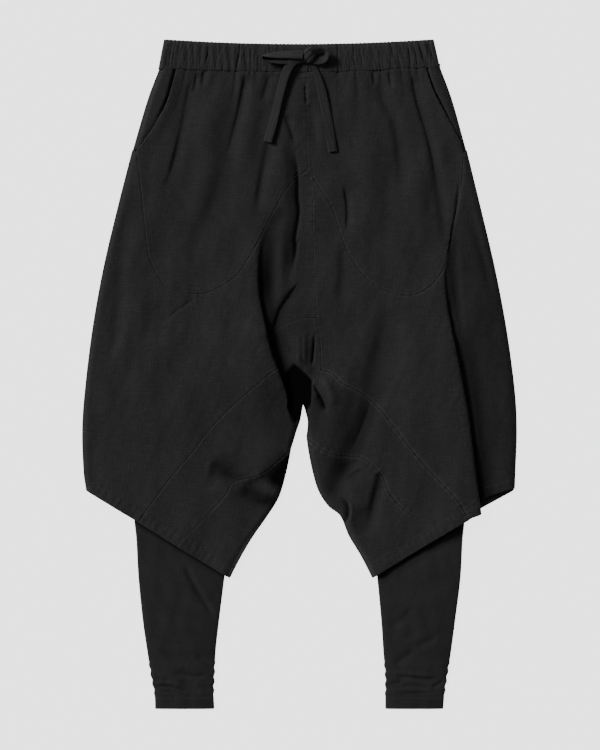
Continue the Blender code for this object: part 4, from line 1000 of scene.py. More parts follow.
def apart(points, others, distance):
    """The points that keep a distance from the others."""
    tree = tree_of(others)
    return np.array([p for p in points if (tree.find((*p, 0))[2] or 0) > distance]).reshape(-1, 2)


def grid(low, high, step, squash=1.0):
    """A three-way lattice of points over a box."""
    rows = []
    for k, down in enumerate(np.arange(low[1], high[1], step * squash * math.sqrt(3) / 2)):
        across = np.arange(low[0], high[0], step) + (k % 2) * step / 2
        rows.append(np.column_stack([across, np.full(len(across), down)]))
    return np.vstack(rows)


def fold_points():
    """Rows of points along each fold, where it has opened."""
    rows = []
    for name, fold in FOLDS.items():
        line = FOLD_CURVES[name]
        reach = fold["half"] + FOLD_ROWS["past"]
        for offset in np.arange(-reach, reach + 0.1, FOLD_ROWS["apart"]):
            points = evenly(line, FOLD_ROWS["step"], offset)
            rows.append(points[fold_strength(name, measure(points, line)[1]) > FOLD_ROWS["opened"]])
    return rows


def crease_points():
    """Rows of points along the sharper creases, at parts of each one's width."""
    rows = []
    for row, line in CREASE_CURVES:
        if min(row["width"]) < CREASE_ROWS["below"]:
            offsets = {0.0} | {side * part * wide for side, wide in zip((-1, 1), row["width"])
                               for part in CREASE_ROWS["parts"] if part * wide < CREASE_ROWS["most"]}
            rows += [evenly(line, CREASE_ROWS["step"], offset) for offset in sorted(offsets)]
    return rows


def inner_points():
    """The points that the front is built from, inside its outlines: close together where it turns sharply.
    Each kind keeps its distance from those before it."""
    kept = np.vstack(beside(EDGE_CURVES, **ROLL_ROWS))
    kinds = (
        (beside(SEAM_CURVES.values(), **SEAM_ROWS), SEAM_CLEAR),
        (fold_points(), FOLD_ROWS["clear"]),
        (crease_points(), CREASE_ROWS["clear"]),
        (beside(HEM_CURVES, **HEM_ROWS), HEM_CLEAR),
        *(([grid(**lattice)], clear) for lattice, clear in GRIDS),
    )
    for rows, clear in kinds:
        for points in rows:
            kept = np.vstack([kept, apart(points, kept, clear)])
    return kept


def add_object(name, data):
    """An object in the scene, at its origin."""
    made = bpy.data.objects.new(name, data)
    bpy.context.scene.collection.objects.link(made)
    return made


def new_piece(name, verts, faces, flat=None, material=None, wear_and_shading=None):
    """A smooth-shaded mesh object, with the flat cut in metres as its UV map."""
    data = bpy.data.meshes.new(name)
    data.from_pydata([tuple(v) for v in verts], [], faces)
    data.polygons.foreach_set("use_smooth", [True] * len(data.polygons))
    if flat is not None:
        index = np.zeros(len(data.loops), int)
        data.loops.foreach_get("vertex_index", index)
        layer = data.uv_layers.new(name="cut")
        layer.data.foreach_set("uv", (np.asarray(flat)[index] * [MM, -MM]).ravel())
    if wear_and_shading is not None:
        data.attributes.new("wear_and_shading", "FLOAT", "POINT").data.foreach_set("value", np.asarray(wear_and_shading, float))
    if material:
        data.materials.append(bpy.data.materials[material])
    data.update()
    return add_object(name, data)


def settle(piece, slot, *nodes):
    """Says what a piece rides on and hides the CAD nodes that it stands for. Its slot is not used."""
    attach(piece, "root")
    if nodes:
        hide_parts(*nodes)


def wear_and_shading_of(flat, rim, on_top):
    """How much paler than the rest the cloth is at each flat point, and how much darker below zero: worn
    paler at the cut rims, painted shade in creases, folds, the crotch hollow and beside the rolled edges,
    painted highlight where a crease's amount is below zero, and strips beside the seams that are worn paler
    and painted as lit ridges."""
    near_rim = tree_of(flat[rim])
    gap = np.array([near_rim.find((*p, 0))[2] for p in flat])
    wear_and_shading = RIM_WEAR["pale"] * np.exp(-gap / RIM_WEAR["reach"])
    if on_top:
        # Painted shade along the creases; below zero, a painted highlight.
        for row, line in CREASE_CURVES:
            if row.get("painted_shading"):
                pick, share = crease_share(flat, row, line)
                wear_and_shading[pick] -= row["painted_shading"] * share
        # Painted shade in the hollow on the right of each fold.
        for name, fold in FOLDS.items():
            painted_shading, wide, first = fold["shade"]
            gap, along, _ = measure(flat, FOLD_CURVES[name])
            length = reach_along(FOLD_CURVES[name])[-1]
            strength = smooth_step(along * length / first) * smooth_step((1 - along) * length / SHADE_END)
            wear_and_shading -= painted_shading * strength * (bell(np.clip(gap - fold["half"], 0, None), wide) * (gap > 0))
    # Painted shade on the floor of each hollow.
    for hollow in HOLLOWS:
        wear_and_shading -= hollow["floor_shade"] * hollow_share(flat, hollow)
    # Painted shade beside the rolled edges.
    for line in EDGE_CURVES:
        pick, gap, _, _ = measure_near(flat, line, 5 * EDGE_SHADE["reach"])
        wear_and_shading[pick] -= EDGE_SHADE["painted_shading"] * bell(gap, EDGE_SHADE["reach"])
    wear_and_shading = np.maximum(wear_and_shading, -DEEPEST_SHADE)
    # The strips beside the seams: worn paler, and a painted highlight of their lit ridges.
    for name, seam in SEAMS.items():
        if seam.get("rubbed_and_lit"):
            pick, off, along, _ = measure_near(flat, SEAM_CURVES[name], FELLED["reach"])
            ridge = bell(np.abs(off) - FELLED["off"], FELLED["width"])
            wear_and_shading[pick] += seam["rubbed_and_lit"] * ridge * seam_shows(seam, along)
    return wear_and_shading


def cloth_piece(node, outline, points, clear, lay, on_top=True):
    """One cut piece: its flat outline and the points inside it, a little clear of it, are joined up into
    triangles, laid out by `lay`, and given the cloth's thickness, half to either side, with a round rim."""
    flat = np.vstack([outline, apart(points[inside(points, outline)], outline, clear)])
    corners = [Vector((x, -y)) for x, y in flat]
    made = delaunay_2d_cdt(corners, [], [list(range(len(outline)))[::-1]], 1, 1e-6)
    flat = np.array([(p.x, -p.y) for p in made[0]])
    faces = [tuple(face) for face in made[2]]
    laid = lay(flat)
    out = surface_normals(flat, lay)
    edges = {(a, b) for face in faces for a, b in zip(face, (*face[1:], face[0]))}
    rim = [(a, b) for a, b in edges if (b, a) not in edges]
    outward = np.zeros_like(flat)
    for a, b in rim:
        run = flat[b] - flat[a]
        away = np.array([-run[1], run[0]]) / np.linalg.norm(run)
        outward[a] -= away
        outward[b] -= away
    outer = sorted({k for pair in rim for k in pair})
    at = {k: j for j, k in enumerate(outer)}
    swell = outward[outer] / np.linalg.norm(outward[outer], axis=1)[:, None]
    middle = laid[outer] + np.column_stack([swell * -RIM_ROUND * CLOTH, np.zeros(len(outer))])
    count = len(flat)
    verts = place(np.vstack([laid + out * CLOTH / 2, laid - out * CLOTH / 2, middle]))
    walls = faces + [tuple(k + count for k in reversed(face)) for face in faces]
    for a, b in rim:
        walls.append((b, a, 2 * count + at[a], 2 * count + at[b]))
        walls.append((2 * count + at[b], 2 * count + at[a], a + count, b + count))
    # Wear and painted shading of the piece, kept as an attribute that scales its colour.
    wear_and_shading = wear_and_shading_of(flat, outer, on_top)
    piece = new_piece(f"cloth_{node}", verts, walls, np.vstack([flat, flat, flat[outer]]), "washed_weave",
                      np.concatenate([wear_and_shading, wear_and_shading, wear_and_shading[outer]]))
    settle(piece, "woven_cloth", node)
    size = (outline.max(0) - outline.min(0)) * MM


def add_node(tree, kind, sockets=None, **settings):
    """A node of a kind: its settings first, then the values or links of its sockets."""
    node = tree.nodes.new(kind)
    for name, value in settings.items():
        setattr(node, name, value)
    for slot, value in (sockets or {}).items():
        if isinstance(value, Value):
            tree.links.new(value.socket, node.inputs[slot])
        else:
            node.inputs[slot].default_value = value
    return node


class Value:
    """A shader value. Reckoning with it adds the nodes that do so."""

    def __init__(self, tree, socket):
        self.tree, self.socket = tree, socket

    def through(self, kind, sockets=None, **settings):
        """What a node makes of this value, which goes into its first socket."""
        made = add_node(self.tree, kind, {0: self, **(sockets or {})}, **settings)
        return Value(self.tree, made.outputs[0])

    def math(self, operation, *others):
        return self.through("ShaderNodeMath", dict(enumerate(others, 1)), operation=operation)

    def __add__(self, other):
        return self.math("ADD", other)

    def __sub__(self, other):
        return self.math("SUBTRACT", other)

    def __mul__(self, other):
        return self.math("MULTIPLY", other)

    def __rsub__(self, other):
        return self * -1.0 + other

    __radd__ = __add__
    __rmul__ = __mul__

    def sine(self):
        return self.math("SINE")

    def size(self):
        return self.math("ABSOLUTE")

    def power(self, other):
        return self.math("POWER", other)

    def stretched(self, x, y):
        return self.through("ShaderNodeVectorMath", {1: (x, y, 1.0)}, operation="MULTIPLY")

    def noise(self, scale, detail=2.0, roughness=0.5):
        return self.through("ShaderNodeTexNoise", {"Scale": scale, "Detail": detail, "Roughness": roughness})

    def parts(self):
        made = add_node(self.tree, "ShaderNodeSeparateXYZ", {0: self})
        return [Value(self.tree, output) for output in made.outputs]

    def ramp(self, low, high, from_low=0.0, from_high=1.0):
        return self.through("ShaderNodeMapRange", {1: from_low, 2: from_high, 3: low, 4: high})

    def around_one(self, swing, from_low=0.3, from_high=0.7):
        """A shade that swings this far either side of 1, from a noise that stays about its middle."""
        return self.ramp(1.0 - swing, 1.0 + swing, from_low, from_high)


def new_material(name, look):
    """A Principled material with its constants set: its tree and its shader node."""
    made = bpy.data.materials.new(name)
    made.use_nodes = True
    shader = made.node_tree.nodes["Principled BSDF"]
    constants = {"Base Color": (*look["colour"], 1.0), "Roughness": look["roughness"],
                 "Specular IOR Level": look["specular"], "Sheen Weight": look["sheen"],
                 "Sheen Roughness": 0.5}
    for socket, value in constants.items():
        shader.inputs[socket].default_value = value
    return made.node_tree, shader


def cloth_material(name, look):
    """A material laid by the cut's own UV map: its tree, its shader node, and a place in the flat cut."""
    tree, shader = new_material(name, look)
    return tree, shader, Value(tree, add_node(tree, "ShaderNodeUVMap").outputs[0])


def worn_and_shaded(tree, look):
    """The piece's own wear and painted shading, as a factor on its colour."""
    read = add_node(tree, "ShaderNodeAttribute", attribute_name="wear_and_shading")
    return Value(tree, read.outputs["Fac"]) * look["wear_and_shading"] + 1.0


def tint(tree, shader, colour, shade):
    """The base colour times a shade that varies."""
    mix = add_node(tree, "ShaderNodeVectorMath", {0: colour, "Scale": shade}, operation="SCALE")
    tree.links.new(mix.outputs[0], shader.inputs["Base Color"])


def bump(tree, shader, height, depth):
    """The normal from a height from 0 to 1, of a depth in metres."""
    node = add_node(tree, "ShaderNodeBump", {"Strength": 1.0, "Distance": depth, "Height": height})
    tree.links.new(node.outputs[0], shader.inputs["Normal"])


def woven_material(name, look):
    """Plain weave with slubs both ways: `thread` is the width of one thread, in metres."""
    tree, shader, cut = cloth_material(name, look)
    wobble = cut.noise(60.0) * 0.0016
    x, y, _ = cut.parts()
    turns = math.pi / look["thread"]
    warp = ((x + wobble) * turns).sine()
    weft = ((y + wobble) * turns).sine()
    weave = (warp * weft).power(2.0)
    down = cut.stretched(1.0, 0.12).noise(look["slub"], 3.0, 0.6)
    across = cut.stretched(0.1, 1.0).noise(look["slub"], 3.0, 0.6)
    mottle = cut.noise(34.0, 4.0, 0.6)
    grain = cut.noise(620.0, 2.0, 0.6)
    shade = down.around_one(0.1) * across.around_one(0.12) * mottle.around_one(0.05)
    shade = shade * grain.around_one(0.34, 0.25, 0.75) * weave.ramp(0.9, 1.07) * worn_and_shaded(tree, look)
    tint(tree, shader, look["colour"], shade)
    bump(tree, shader, weave * 0.35 + down * 0.7 + across * 0.8 + grain * 1.3, look["depth"])


def jersey_material(name, look):
    """Fine jersey: columns of small V stitches down the leg."""
    tree, shader, cut = cloth_material(name, look)
    x, y, _ = cut.parts()
    slant = (x * (math.pi / look["column"])).sine().size()
    loops = ((y * (2 * math.pi / look["course"])) + slant * 2.4).sine()
    soft = cut.noise(40.0, 3.0, 0.6)
    grain = cut.noise(900.0, 2.0, 0.6)
    shade = soft.around_one(0.12) * grain.around_one(0.2, 0.25, 0.75)
    tint(tree, shader, look["colour"], shade * worn_and_shaded(tree, look))
    bump(tree, shader, (loops * 0.5 + slant) * 0.25 + grain * 0.7, look["depth"])


def tape_material(name, look):
    """Flat woven tape: fine ribs along it."""
    tree, shader, cut = cloth_material(name, look)
    x, y, _ = cut.parts()
    ribs = (x * (math.pi / look["rib"])).sine().size()
    picks = (y * (math.pi / look["pick"])).sine().size()
    grain = cut.noise(700.0, 3.0, 0.6)
    streak = cut.stretched(1.0, 0.06).noise(520.0, 2.0, 0.6)
    shade = grain.around_one(0.2, 0.25, 0.75) * streak.around_one(0.2) * ribs.ramp(0.88, 1.06)
    tint(tree, shader, look["colour"], shade)
    bump(tree, shader, ribs * 0.5 + picks * 0.2 + grain * 0.5 + streak * 0.4, look["depth"])


def thread_material(name, look):
    """Sewing thread: a twisted ply."""
    tree, shader = new_material(name, look)
    spot = Value(tree, add_node(tree, "ShaderNodeTexCoord").outputs["Object"])
    tint(tree, shader, look["colour"], spot.noise(900.0).around_one(0.25))
    bump(tree, shader, spot.noise(2400.0), look["depth"])


def plain_mesh(thing):
    """The smooth-shaded mesh that an object's modifiers make of it."""
    shape = bpy.data.meshes.new_from_object(thing.evaluated_get(bpy.context.evaluated_depsgraph_get()))
    shape.polygons.foreach_set("use_smooth", [True] * len(shape.polygons))
    return shape


def thicken(piece, thick):
    """Gives a sheet its wall, half to either side."""
    wall = piece.modifiers.new("wall", "SOLIDIFY")
    wall.thickness = thick * MM
    wall.offset = 0.0
    sheet, shape = piece.data, plain_mesh(piece)
    piece.modifiers.clear()
    piece.data = shape
    bpy.data.meshes.remove(sheet)


def make_front():
    """The eight sewn pieces of the front."""
    inner = inner_points()
    for name, lines in PIECES.items():
        outline = set_in(outline_of(lines), SEAM_GAP / 2)
        near = ((inner > outline.min(0)) & (inner < outline.max(0))).all(1)
        cloth_piece(name, outline, inner[near], FRONT_CLEAR, drape)


def make_facings():
    """The side pieces that show inside the pocket mouths and run on under the yoke."""
    step, above = FACING_CUT["step"], [0, FACING_CUT["above"]]
    for side, sign in (("left", -1), ("right", 1)):
        edge = curve_through(LINES[f"side_{side}_high"])
        edge = evenly(np.vstack([edge[:1] + above, edge]), step)
        mouth = curve_through(LINES[f"pocket_{side}"])[:-4] - [sign * FACING_CUT["tuck"], 0]
        mouth = evenly(np.vstack([mouth[:1] + above, mouth]), step)
        across, down = LINES[f"pocket_{side}"][-1]
        foot = [(across - sign * FACING_CUT["foot"][0], down - FACING_CUT["foot"][1])]
        outline = set_in(np.vstack([edge, foot, mouth[::-1]]), FACING_CUT["set_in"])
        points = grid(outline.min(0), outline.max(0), FACING_CUT["lattice"])
        cloth_piece(f"pocket_facing_{side}", outline, points, FACING_CUT["clear"], drape_facing)


def make_backs():
    """The two backs, joined at the centre-back seam."""
    for side, sign, hem in (("left", -1, BACK_HEM_LEFT), ("right", 1, BACK_HEM_RIGHT[::-1])):
        edge, inner = (np.vstack([curve_through(LINES[name])[:-1] for name in names])
                       for names in ((f"side_{side}_high", f"side_{side}"),
                                     (f"inseam_{side}_high", f"inseam_{side}_low")))
        top = [(BACK_SEAM, BACK_CUT["top"])]
        outline = np.vstack([top, inner, hem, edge[::-1], top])
        outline = set_in(evenly(outline, BACK_CUT["step"])[:-1], BACK_CUT["set_in"])
        at_seam = np.abs(outline[:, 0] - BACK_SEAM) < BACK_CUT["snap"]
        outline[at_seam, 0] = BACK_SEAM + sign * SEAM_GAP / 2
        points = grid(outline.min(0), outline.max(0), BACK_CUT["lattice"])
        cloth_piece(f"back_{side}", outline, points, BACK_CUT["clear"], lay_back, on_top=False)


def ring_faces(rings, count):
    """The faces between rings of points, one ring after the other."""
    return [(k * count + j, k * count + (j + 1) % count, (k + 1) * count + (j + 1) % count,
             (k + 1) * count + j) for k in range(rings - 1) for j in range(count)]


def table_curve(rows, column, at, by):
    """A column of a table at places between its rows, by another column."""
    return np.interp(at, [row[by] for row in rows], [row[column] for row in rows])


def band_height(part, down):
    """The height of the waistband's front at places across it and down it, both from 0 to 1, with its
    gathers: rounded crests between narrow valleys that wander and don't all run the whole way."""
    base, lively = (table_curve(BAND_ROWS, column, down, "part") for column in ("height", "wave"))
    wander = GATHERS["wander"] / BAND_SPAN
    valley = np.zeros_like(part)
    for row in BAND_GATHERS:
        bend = row["wander"] * (down - 0.5) + 0.5 * np.sin(5.0 * down + row["phase"])
        gap = np.abs(part - (row["at"] + wander * bend)) * BAND_SPAN
        opened = smooth_step((down - row["top"]) / 0.25) * smooth_step((row["foot"] - down) / 0.25)
        valley = np.maximum(valley, row["depth"] * opened * np.exp(-((gap / row["wide"]) ** 1.4)))
    spots = np.column_stack([part * BAND_SPAN, down * BAND_FOOT])
    return base + lively * (waves(spots, **BAND_SWELL) - valley + waves(spots, **BAND_SLUB))


def make_waistband():
    """One casing all round, lying flat: a gathered front over a plain back."""
    ends, lifts = ([row[column] for row in BAND_END] for column in ("part", "rise"))
    middle = BAND_MARGIN + (1 - 2 * BAND_MARGIN) * np.linspace(0, 1, BAND_COLUMNS)
    floor = [1 - (k + 1) / (BAND_FLOOR_COLUMNS + 1) for k in range(BAND_FLOOR_COLUMNS)]
    parts = np.array([*ends, *middle, *(1 - part for part in reversed(ends)), *floor])
    rises = np.array([*lifts, *[1.0] * BAND_COLUMNS, *reversed(lifts), *[0.0] * BAND_FLOOR_COLUMNS])
    low = BAND_WALL / 2
    bow = 1 - (2 * parts - 1) ** 2
    top = BAND_TOP["ends"] + (BAND_TOP["middle"] - BAND_TOP["ends"]) * bow
    verts, flat = [], []
    for k in range(BAND_DOWN):
        down = k / (BAND_DOWN - 1)
        left, right = (end[0] + (end[1] - end[0]) * down for end in (BAND_LEFT, BAND_RIGHT))
        across = left + (right - left) * parts
        bottom = np.interp(across, WAIST_LINE[:, 0], WAIST_LINE[:, 1]) + 0.3
        ruffle = BAND_TOP["ruffle"] * np.sin(parts * BAND_SPAN) * rises * (k == 0)
        downs = top + (bottom - top) * down + ruffle
        height = low + (band_height(parts, np.full(len(parts), down)) - low) * rises
        verts.append(np.column_stack([across, downs, height]))
        flat.append(np.column_stack([across * BAND_FULLNESS, downs]))
    # The whole waistband is painted a little paler.
    band = new_piece("cloth_waistband", place(np.vstack(verts)), ring_faces(BAND_DOWN, len(parts)),
                     np.vstack(flat), "washed_weave", np.full(BAND_DOWN * len(parts), BAND_PAINTED_PALER))
    thicken(band, BAND_WALL)
    settle(band, "woven_cloth", "waistband")


def floor_under_legging(side, across, down):
    """The underside of a legging: it lies on the back of the shell and steps down past the back's hem."""
    hem = BACK_HEM_LEFT[::-1] if side == "left" else BACK_HEM_RIGHT[::-1]
    past = down - np.interp(across, [p[0] for p in hem], [p[1] for p in hem])
    return LEGGING_HELD * (1 - smooth_step((past - 7) / 22))


def legging_relief(side, points):
    """The wrinkles of a legging, its turned hem and the slight unevenness of the knit."""
    relief = waves(points, **LEGGING_WAVES[side]) + waves(points, **KNIT_WAVES)
    for row in LEGGING_CREASES[side]:
        pick, gap, along, _ = measure_near(points, curve_through(row["line"], 6), 3.0 * row["width"])
        relief[pick] += row["height"] * bell(gap, row["width"]) * fading_ends(along, 0.2, 0.2)
    relief -= LEGGING_HEM["deep"] * bell(points[:, 1] - LEGGING_HEM["stitches"], LEGGING_HEM["groove"])
    past = points[:, 1] - LEGGING_HEM["stitches"] - 1
    return relief + LEGGING_HEM["thick"] * smooth_step(past / LEGGING_HEM["step"])


def legging_points(side, angle, at):
    """Points of a legging lying flat, for angles round it and places down it: a level underside, rounded
    edges and a low arched top."""
    slant = table_curve(LEGGING_ROWS, "slant", at, "down") * (1 if side == "left" else -1)
    tall = table_curve(LEGGING_ROWS, "height", at, "down")
    part, lift = np.cos(angle), np.sin(angle)
    down = at + slant * part * LEGGING_ARCH["slanted"]
    starts, ends = (np.interp(down, edge[:, 1], edge[:, 0])
                    for edge in (curve_through(edge, 6) for edge in LEGGING_EDGES[side]))
    wide = 0.5 * (ends - starts) - JERSEY / 2
    push = EDGE_WRINKLES["push"] * np.sin((down - EDGE_WRINKLES["middle"]) * EDGE_WRINKLES["close"] + part)
    push *= smooth_step((down - EDGE_WRINKLES["top"]) / EDGE_WRINKLES["fade_in"])
    push *= smooth_step((EDGE_WRINKLES["foot"] - down) / EDGE_WRINKLES["fade_out"])
    across = 0.5 * (starts + ends) + (wide + push) * part
    floor = floor_under_legging(side, across, down) + JERSEY / 2
    over, under = np.clip(lift, 0, 1), np.clip(1 + lift / 0.3, 0, 1)
    arch = LEGGING_EDGE + (tall - JERSEY - LEGGING_EDGE) * over ** LEGGING_ARCH["square"]
    relief = legging_relief(side, np.column_stack([across, down]))
    top = arch + relief * over ** LEGGING_ARCH["relief"]
    return np.column_stack([across, down, floor + np.where(lift >= 0, top, LEGGING_EDGE * under)])


def make_legging(side):
    """A jersey tube, with its turned hem."""
    angles = np.linspace(0, 2 * math.pi, LEGGING_AROUND, endpoint=False)
    rows = np.linspace(LEGGING_ROWS[0]["down"], LEGGING_ROWS[-1]["down"], LEGGING_DOWN)
    verts = np.vstack([legging_points(side, angles, np.full(LEGGING_AROUND, row)) for row in rows])
    round_it = LEGGING_ARCH["half_round"] * angles / math.pi
    flat = np.vstack([np.column_stack([round_it, np.full(LEGGING_AROUND, row)]) for row in rows])
    # Painted shade on the legging just below the hems.
    hem_gap = distance_to(HEM_CURVES, verts[:, :2], 20.0)
    wear_and_shading = -LEGGING_SHADE["painted_shading"] * bell(hem_gap, LEGGING_SHADE["reach"])
    tube = new_piece(f"cloth_legging_{side}", place(verts), ring_faces(LEGGING_DOWN, LEGGING_AROUND), flat,
                     "leg_jersey", wear_and_shading)
    thicken(tube, JERSEY)
    settle(tube, "jersey_cloth", f"legging_{side}")


def cloth_height(down):
    """The top of the cloth under the drawstring: the waistband above its seam, the yokes below it."""
    if down < BAND_FOOT:
        part = min(max((down - BED["top"]) / (BAND_FOOT - BED["top"]), 0), 1)
        return float(np.interp(part, BED["parts"], BED["heights"])) + BAND_WALL / 2
    return BED["heights"][-1] + CLOTH / 2 + BED["swell"] * math.exp(-((down - BAND_FOOT) / BED["fade"]))


def make_tape(name, stations):
    """A flat tape along its stations, turned over where the table says, with square ends: its object, the
    points of its middle line, and the runs of stitches across its ends."""
    rough = [(row["across"], row["down"], cloth_height(row["down"]) + row["lift"]) for row in stations]
    middle = evenly(curve_through(rough, 8), TAPE_STEP)
    reach = reach_along(np.array(rough))
    at = np.linspace(0, reach[-1], len(middle))
    turns = np.radians(np.interp(at, reach, [row["turn"] for row in stations]))
    halves = np.interp(at, reach, [row.get("wide", 1.0) for row in stations]) * TAPE_WIDTH / 2
    leaning = at < reach[LEANING.get(name, 0)]
    points = [Vector(p) for p in place(middle)]
    verts, flat, seams = [], [], []
    along = reach_along(middle)
    doubled = smooth_step((TAPE_ENDS["turned"] - along[-1] + along) / 1.5)
    thick = TAPE_THICK * (1 + TAPE_ENDS["thicker"] * doubled)
    for k, (point, turn) in enumerate(zip(points, turns)):
        ahead = (points[min(k + 2, len(points) - 1)] - points[max(k - 2, 0)]).normalized()
        side = Matrix.Rotation(turn, 3, ahead) @ ahead.cross(Vector((0, 0, 1))).normalized()
        if leaning[k]:
            lean = Vector((0, -math.cos(turn), math.sin(turn)))
            side = (lean - ahead * ahead.dot(lean)).normalized()
        up = side.cross(ahead)
        for wall in (1, -1):
            for j in range(TAPE_PARTS + 1):
                part = (2 * j / TAPE_PARTS - 1) * wall
                round_off = (1 - abs(part) ** 6) ** 0.5
                offset = side * (part * halves[k] * MM) + up * (wall * round_off * thick[k] / 2 * MM)
                verts.append(point + offset)
                flat.append((part * TAPE_WIDTH / 2, along[k]))
        if any(abs(along[-1] - along[k] - back) < TAPE_STEP / 2 for back in TAPE_ENDS["stitches"]):
            reach_out = side * (TAPE_WIDTH / 2 - TAPE_ENDS["inset"]) * MM
            top = point + up * (thick[k] / 2 + FINE_HEIGHT) * MM
            seams.append([tuple(top + reach_out * part) for part in (-1, 0, 1)])
    count = 2 * (TAPE_PARTS + 1)
    faces = ring_faces(len(points), count)
    faces.append(tuple(range(count)))
    faces.append(tuple(range((len(points) - 1) * count, len(points) * count))[::-1])
    return new_piece(name, verts, faces, flat, "string_weave"), points, seams


def make_knot():
    """The knot of the bow: the tape wrapped round the crossing."""
    rows, around = KNOT["rows"], KNOT["around"]
    wide, long, tall = (0.5 * size for size in KNOT["size"])
    verts, flat = [], []
    for k in range(rows + 1):
        tilt = math.pi * k / rows
        for j in range(around):
            angle = 2 * math.pi * j / around
            x, y = math.sin(tilt) * math.cos(angle), -math.cos(tilt)
            ridge = 1.0
            for groove in KNOT_GROOVES:
                off = x * groove["across"][0] + y * groove["across"][1] - groove["out"]
                ridge -= groove["depth"] * math.exp(-((off / groove["width"]) ** 2))
            z = tall * math.sin(tilt) * math.sin(angle) * ridge
            verts.append((KNOT["across"] + x * (wide * ridge), KNOT["down"] + y * (long * ridge),
                          KNOT["height"] + z))
            flat.append((angle * 7, tilt * 9))
    faces = [face[::-1] for face in ring_faces(rows + 1, around)]
    return new_piece("knot", place(verts), faces, flat, "string_weave")


def make_drawstring():
    """The two tapes of the bow and its knot."""
    settle(make_knot(), "drawstring_tape", "drawstring_knot")
    seams = []
    for name, stations in TAPES.items():
        tape, points, end_seams = make_tape(name, stations)
        seams += end_seams
        settle(tape, "drawstring_tape", *TAPE_NODES[name])
        length = sum((b - a).length for a, b in zip(points, points[1:]))
    sew("stitches_tails", seams, "drawstring_tape", **TAIL_STITCH)


def stitch_group():
    """Geometry nodes that lay a stitch at even steps along a curve."""
    group = bpy.data.node_groups.new("stitches", "GeometryNodeTree")
    for name, kind in (("Curve", "Geometry"), ("Step", "Float"), ("Length", "Float"), ("Width", "Float"),
                       ("Thread", "Material")):
        group.interface.new_socket(name=name, in_out="INPUT", socket_type=f"NodeSocket{kind}")
    group.interface.new_socket(name="Mesh", in_out="OUTPUT", socket_type="NodeSocketGeometry")
    given = add_node(group, "NodeGroupInput").outputs
    out = add_node(group, "NodeGroupOutput").inputs
    spots = add_node(group, "GeometryNodeCurveToPoints", mode="LENGTH")
    ball = add_node(group, "GeometryNodeMeshUVSphere", {"Segments": 6, "Rings": 5, "Radius": 0.5})
    size = add_node(group, "ShaderNodeCombineXYZ")
    put = add_node(group, "GeometryNodeInstanceOnPoints")
    real = add_node(group, "GeometryNodeRealizeInstances")
    dress = add_node(group, "GeometryNodeSetMaterial")
    for start, end in (
        (given["Curve"], spots.inputs["Curve"]),
        (given["Step"], spots.inputs["Length"]),
        (given["Width"], size.inputs[0]),
        (given["Width"], size.inputs[1]),
        (given["Length"], size.inputs[2]),
        (spots.outputs["Points"], put.inputs["Points"]),
        (spots.outputs["Rotation"], put.inputs["Rotation"]),
        (ball.outputs["Mesh"], put.inputs["Instance"]),
        (size.outputs[0], put.inputs["Scale"]),
        (put.outputs[0], real.inputs[0]),
        (real.outputs[0], dress.inputs["Geometry"]),
        (given["Thread"], dress.inputs["Material"]),
        (dress.outputs[0], out["Mesh"]),
    ):
        group.links.new(start, end)
    return group


def sew(name, runs, slot, step=3.2, long=2.2, wide=0.55):
    """A row of stitches along each run of points, in metres."""
    curve = bpy.data.curves.new(name, "CURVE")
    curve.dimensions = "3D"
    for run in runs:
        spline = curve.splines.new("POLY")
        spline.points.add(len(run) - 1)
        spline.points.foreach_set("co", np.column_stack([run, np.ones(len(run))]).ravel())
    path = add_object(f"{name}_path", curve)
    modifier = path.modifiers.new("stitches", "NODES")
    modifier.node_group = STITCHES
    given = {"Step": step * MM, "Length": long * MM, "Width": wide * MM,
             "Thread": bpy.data.materials["sewing_thread"]}
    for item in STITCHES.interface.items_tree:
        if item.name in given:
            modifier[item.identifier] = given[item.name]
    bpy.context.view_layer.update()
    shape = plain_mesh(path)
    shape.name = name
    bpy.data.objects.remove(path)
    settle(add_object(name, shape), slot)


def on_front(line, offset, step=2.0, trim=2.0):
    """A run of points on the front's upper face, beside a flat line."""
    flat = evenly(line, step, offset)
    laid = drape(flat)
    out = surface_normals(flat, drape)
    cut = round(trim / step)
    return place(laid + out * (CLOTH / 2 + STITCH_HEIGHT))[cut:len(flat) - cut]


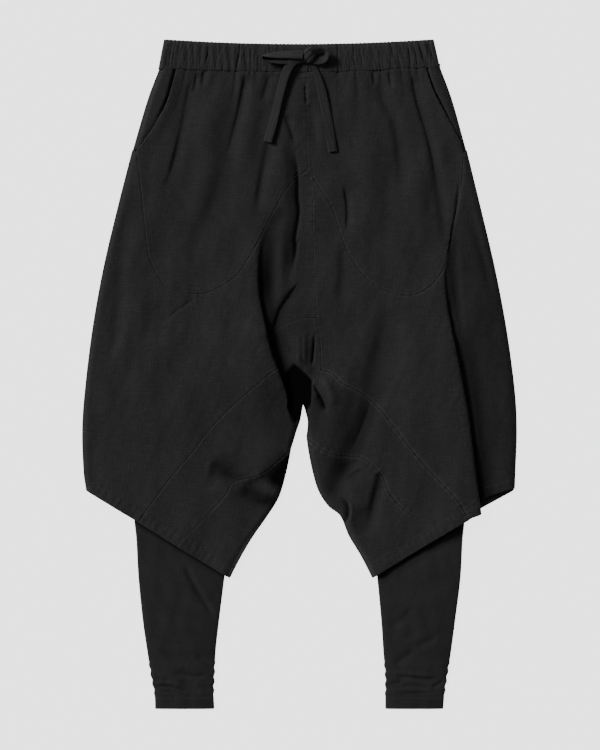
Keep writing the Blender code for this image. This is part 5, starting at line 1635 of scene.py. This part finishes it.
def make_stitches():
    """The rows of topstitching on the shell, the pockets, the hems and the leggings."""
    rows = []
    for name, offsets in STITCH_ROWS.items():
        line = curve_through(LINES[name], 8)
        line = line[:math.ceil(len(line) * SEAMS.get(name, {}).get("shows", 1.0))]
        rows += [on_front(line, offset) for offset in offsets]
    sew("stitches_shell", rows, "woven_cloth")
    hems = [on_front(np.vstack([curve_through(LINES[name], 6) for name in names]), offset, trim=4.0)
            for names, offset in STITCH_HEMS]
    sew("stitches_hems", hems, "woven_cloth")
    cuffs = []
    angles = np.linspace(0.05, math.pi - 0.05, 90)
    for side in LEGGING_EDGES:
        points = legging_points(side, angles, np.full(len(angles), LEGGING_HEM["stitches"]))
        cuffs.append(place(points + [0, 0, JERSEY / 2 + FINE_HEIGHT]))
    sew("stitches_cuffs", cuffs, "jersey_cloth", **CUFF_STITCH)


def look_down():
    """The camera straight above the trousers, far enough off to show them whole."""
    view = bpy.data.cameras.new("camera")
    view.lens = CAMERA["lens"]
    view.sensor_fit = "VERTICAL"
    view.sensor_height = CAMERA["sensor"]
    camera = add_object("camera", view)
    camera.location = (CAMERA["across"] * MM, 0.0, CAMERA["view"] * CAMERA["lens"] / CAMERA["sensor"])
    bpy.context.scene.camera = camera


def light_up():
    """A low lamp from the upper left, a weak sky, and a pale floor that is a little bright by itself."""
    lamp = bpy.data.lights.new("key", "SUN")
    lamp.energy = KEY["strength"]
    lamp.angle = math.radians(KEY["spread"])
    lamp.color = KEY["colour"]
    turn, rise = math.radians(KEY["turn"]), math.radians(KEY["rise"])
    toward = Vector((math.cos(turn) * math.cos(rise), math.sin(turn) * math.cos(rise), math.sin(rise)))
    add_object("key", lamp).rotation_euler = toward.to_track_quat("Z", "Y").to_euler()
    world = bpy.data.worlds.new("sky")
    world.use_nodes = True
    background = world.node_tree.nodes["Background"]
    background.inputs["Color"].default_value = (*SKY["colour"], 1.0)
    background.inputs["Strength"].default_value = SKY["strength"]
    bpy.context.scene.world = world
    _, shader = new_material("floor", FLOOR)
    shader.inputs["Emission Color"].default_value = (*FLOOR["glow_colour"], 1.0)
    shader.inputs["Emission Strength"].default_value = FLOOR["glow"]
    half, low = FLOOR["half"], FLOOR["height"]
    corners = [(-half, -half, low), (half, -half, low), (half, half, low), (-half, half, low)]
    new_piece("floor", corners, [(0, 1, 2, 3)], material="floor")


look_down()
light_up()
woven_material("washed_weave", WEAVE)
jersey_material("leg_jersey", JERSEY_FINISH)
tape_material("string_weave", TAPE_FINISH)
thread_material("sewing_thread", THREAD)
STITCHES = stitch_group()
make_drawstring()
make_front()
make_facings()
make_backs()
make_waistband()
for leg in LEGGING_EDGES:
    make_legging(leg)
make_stitches()
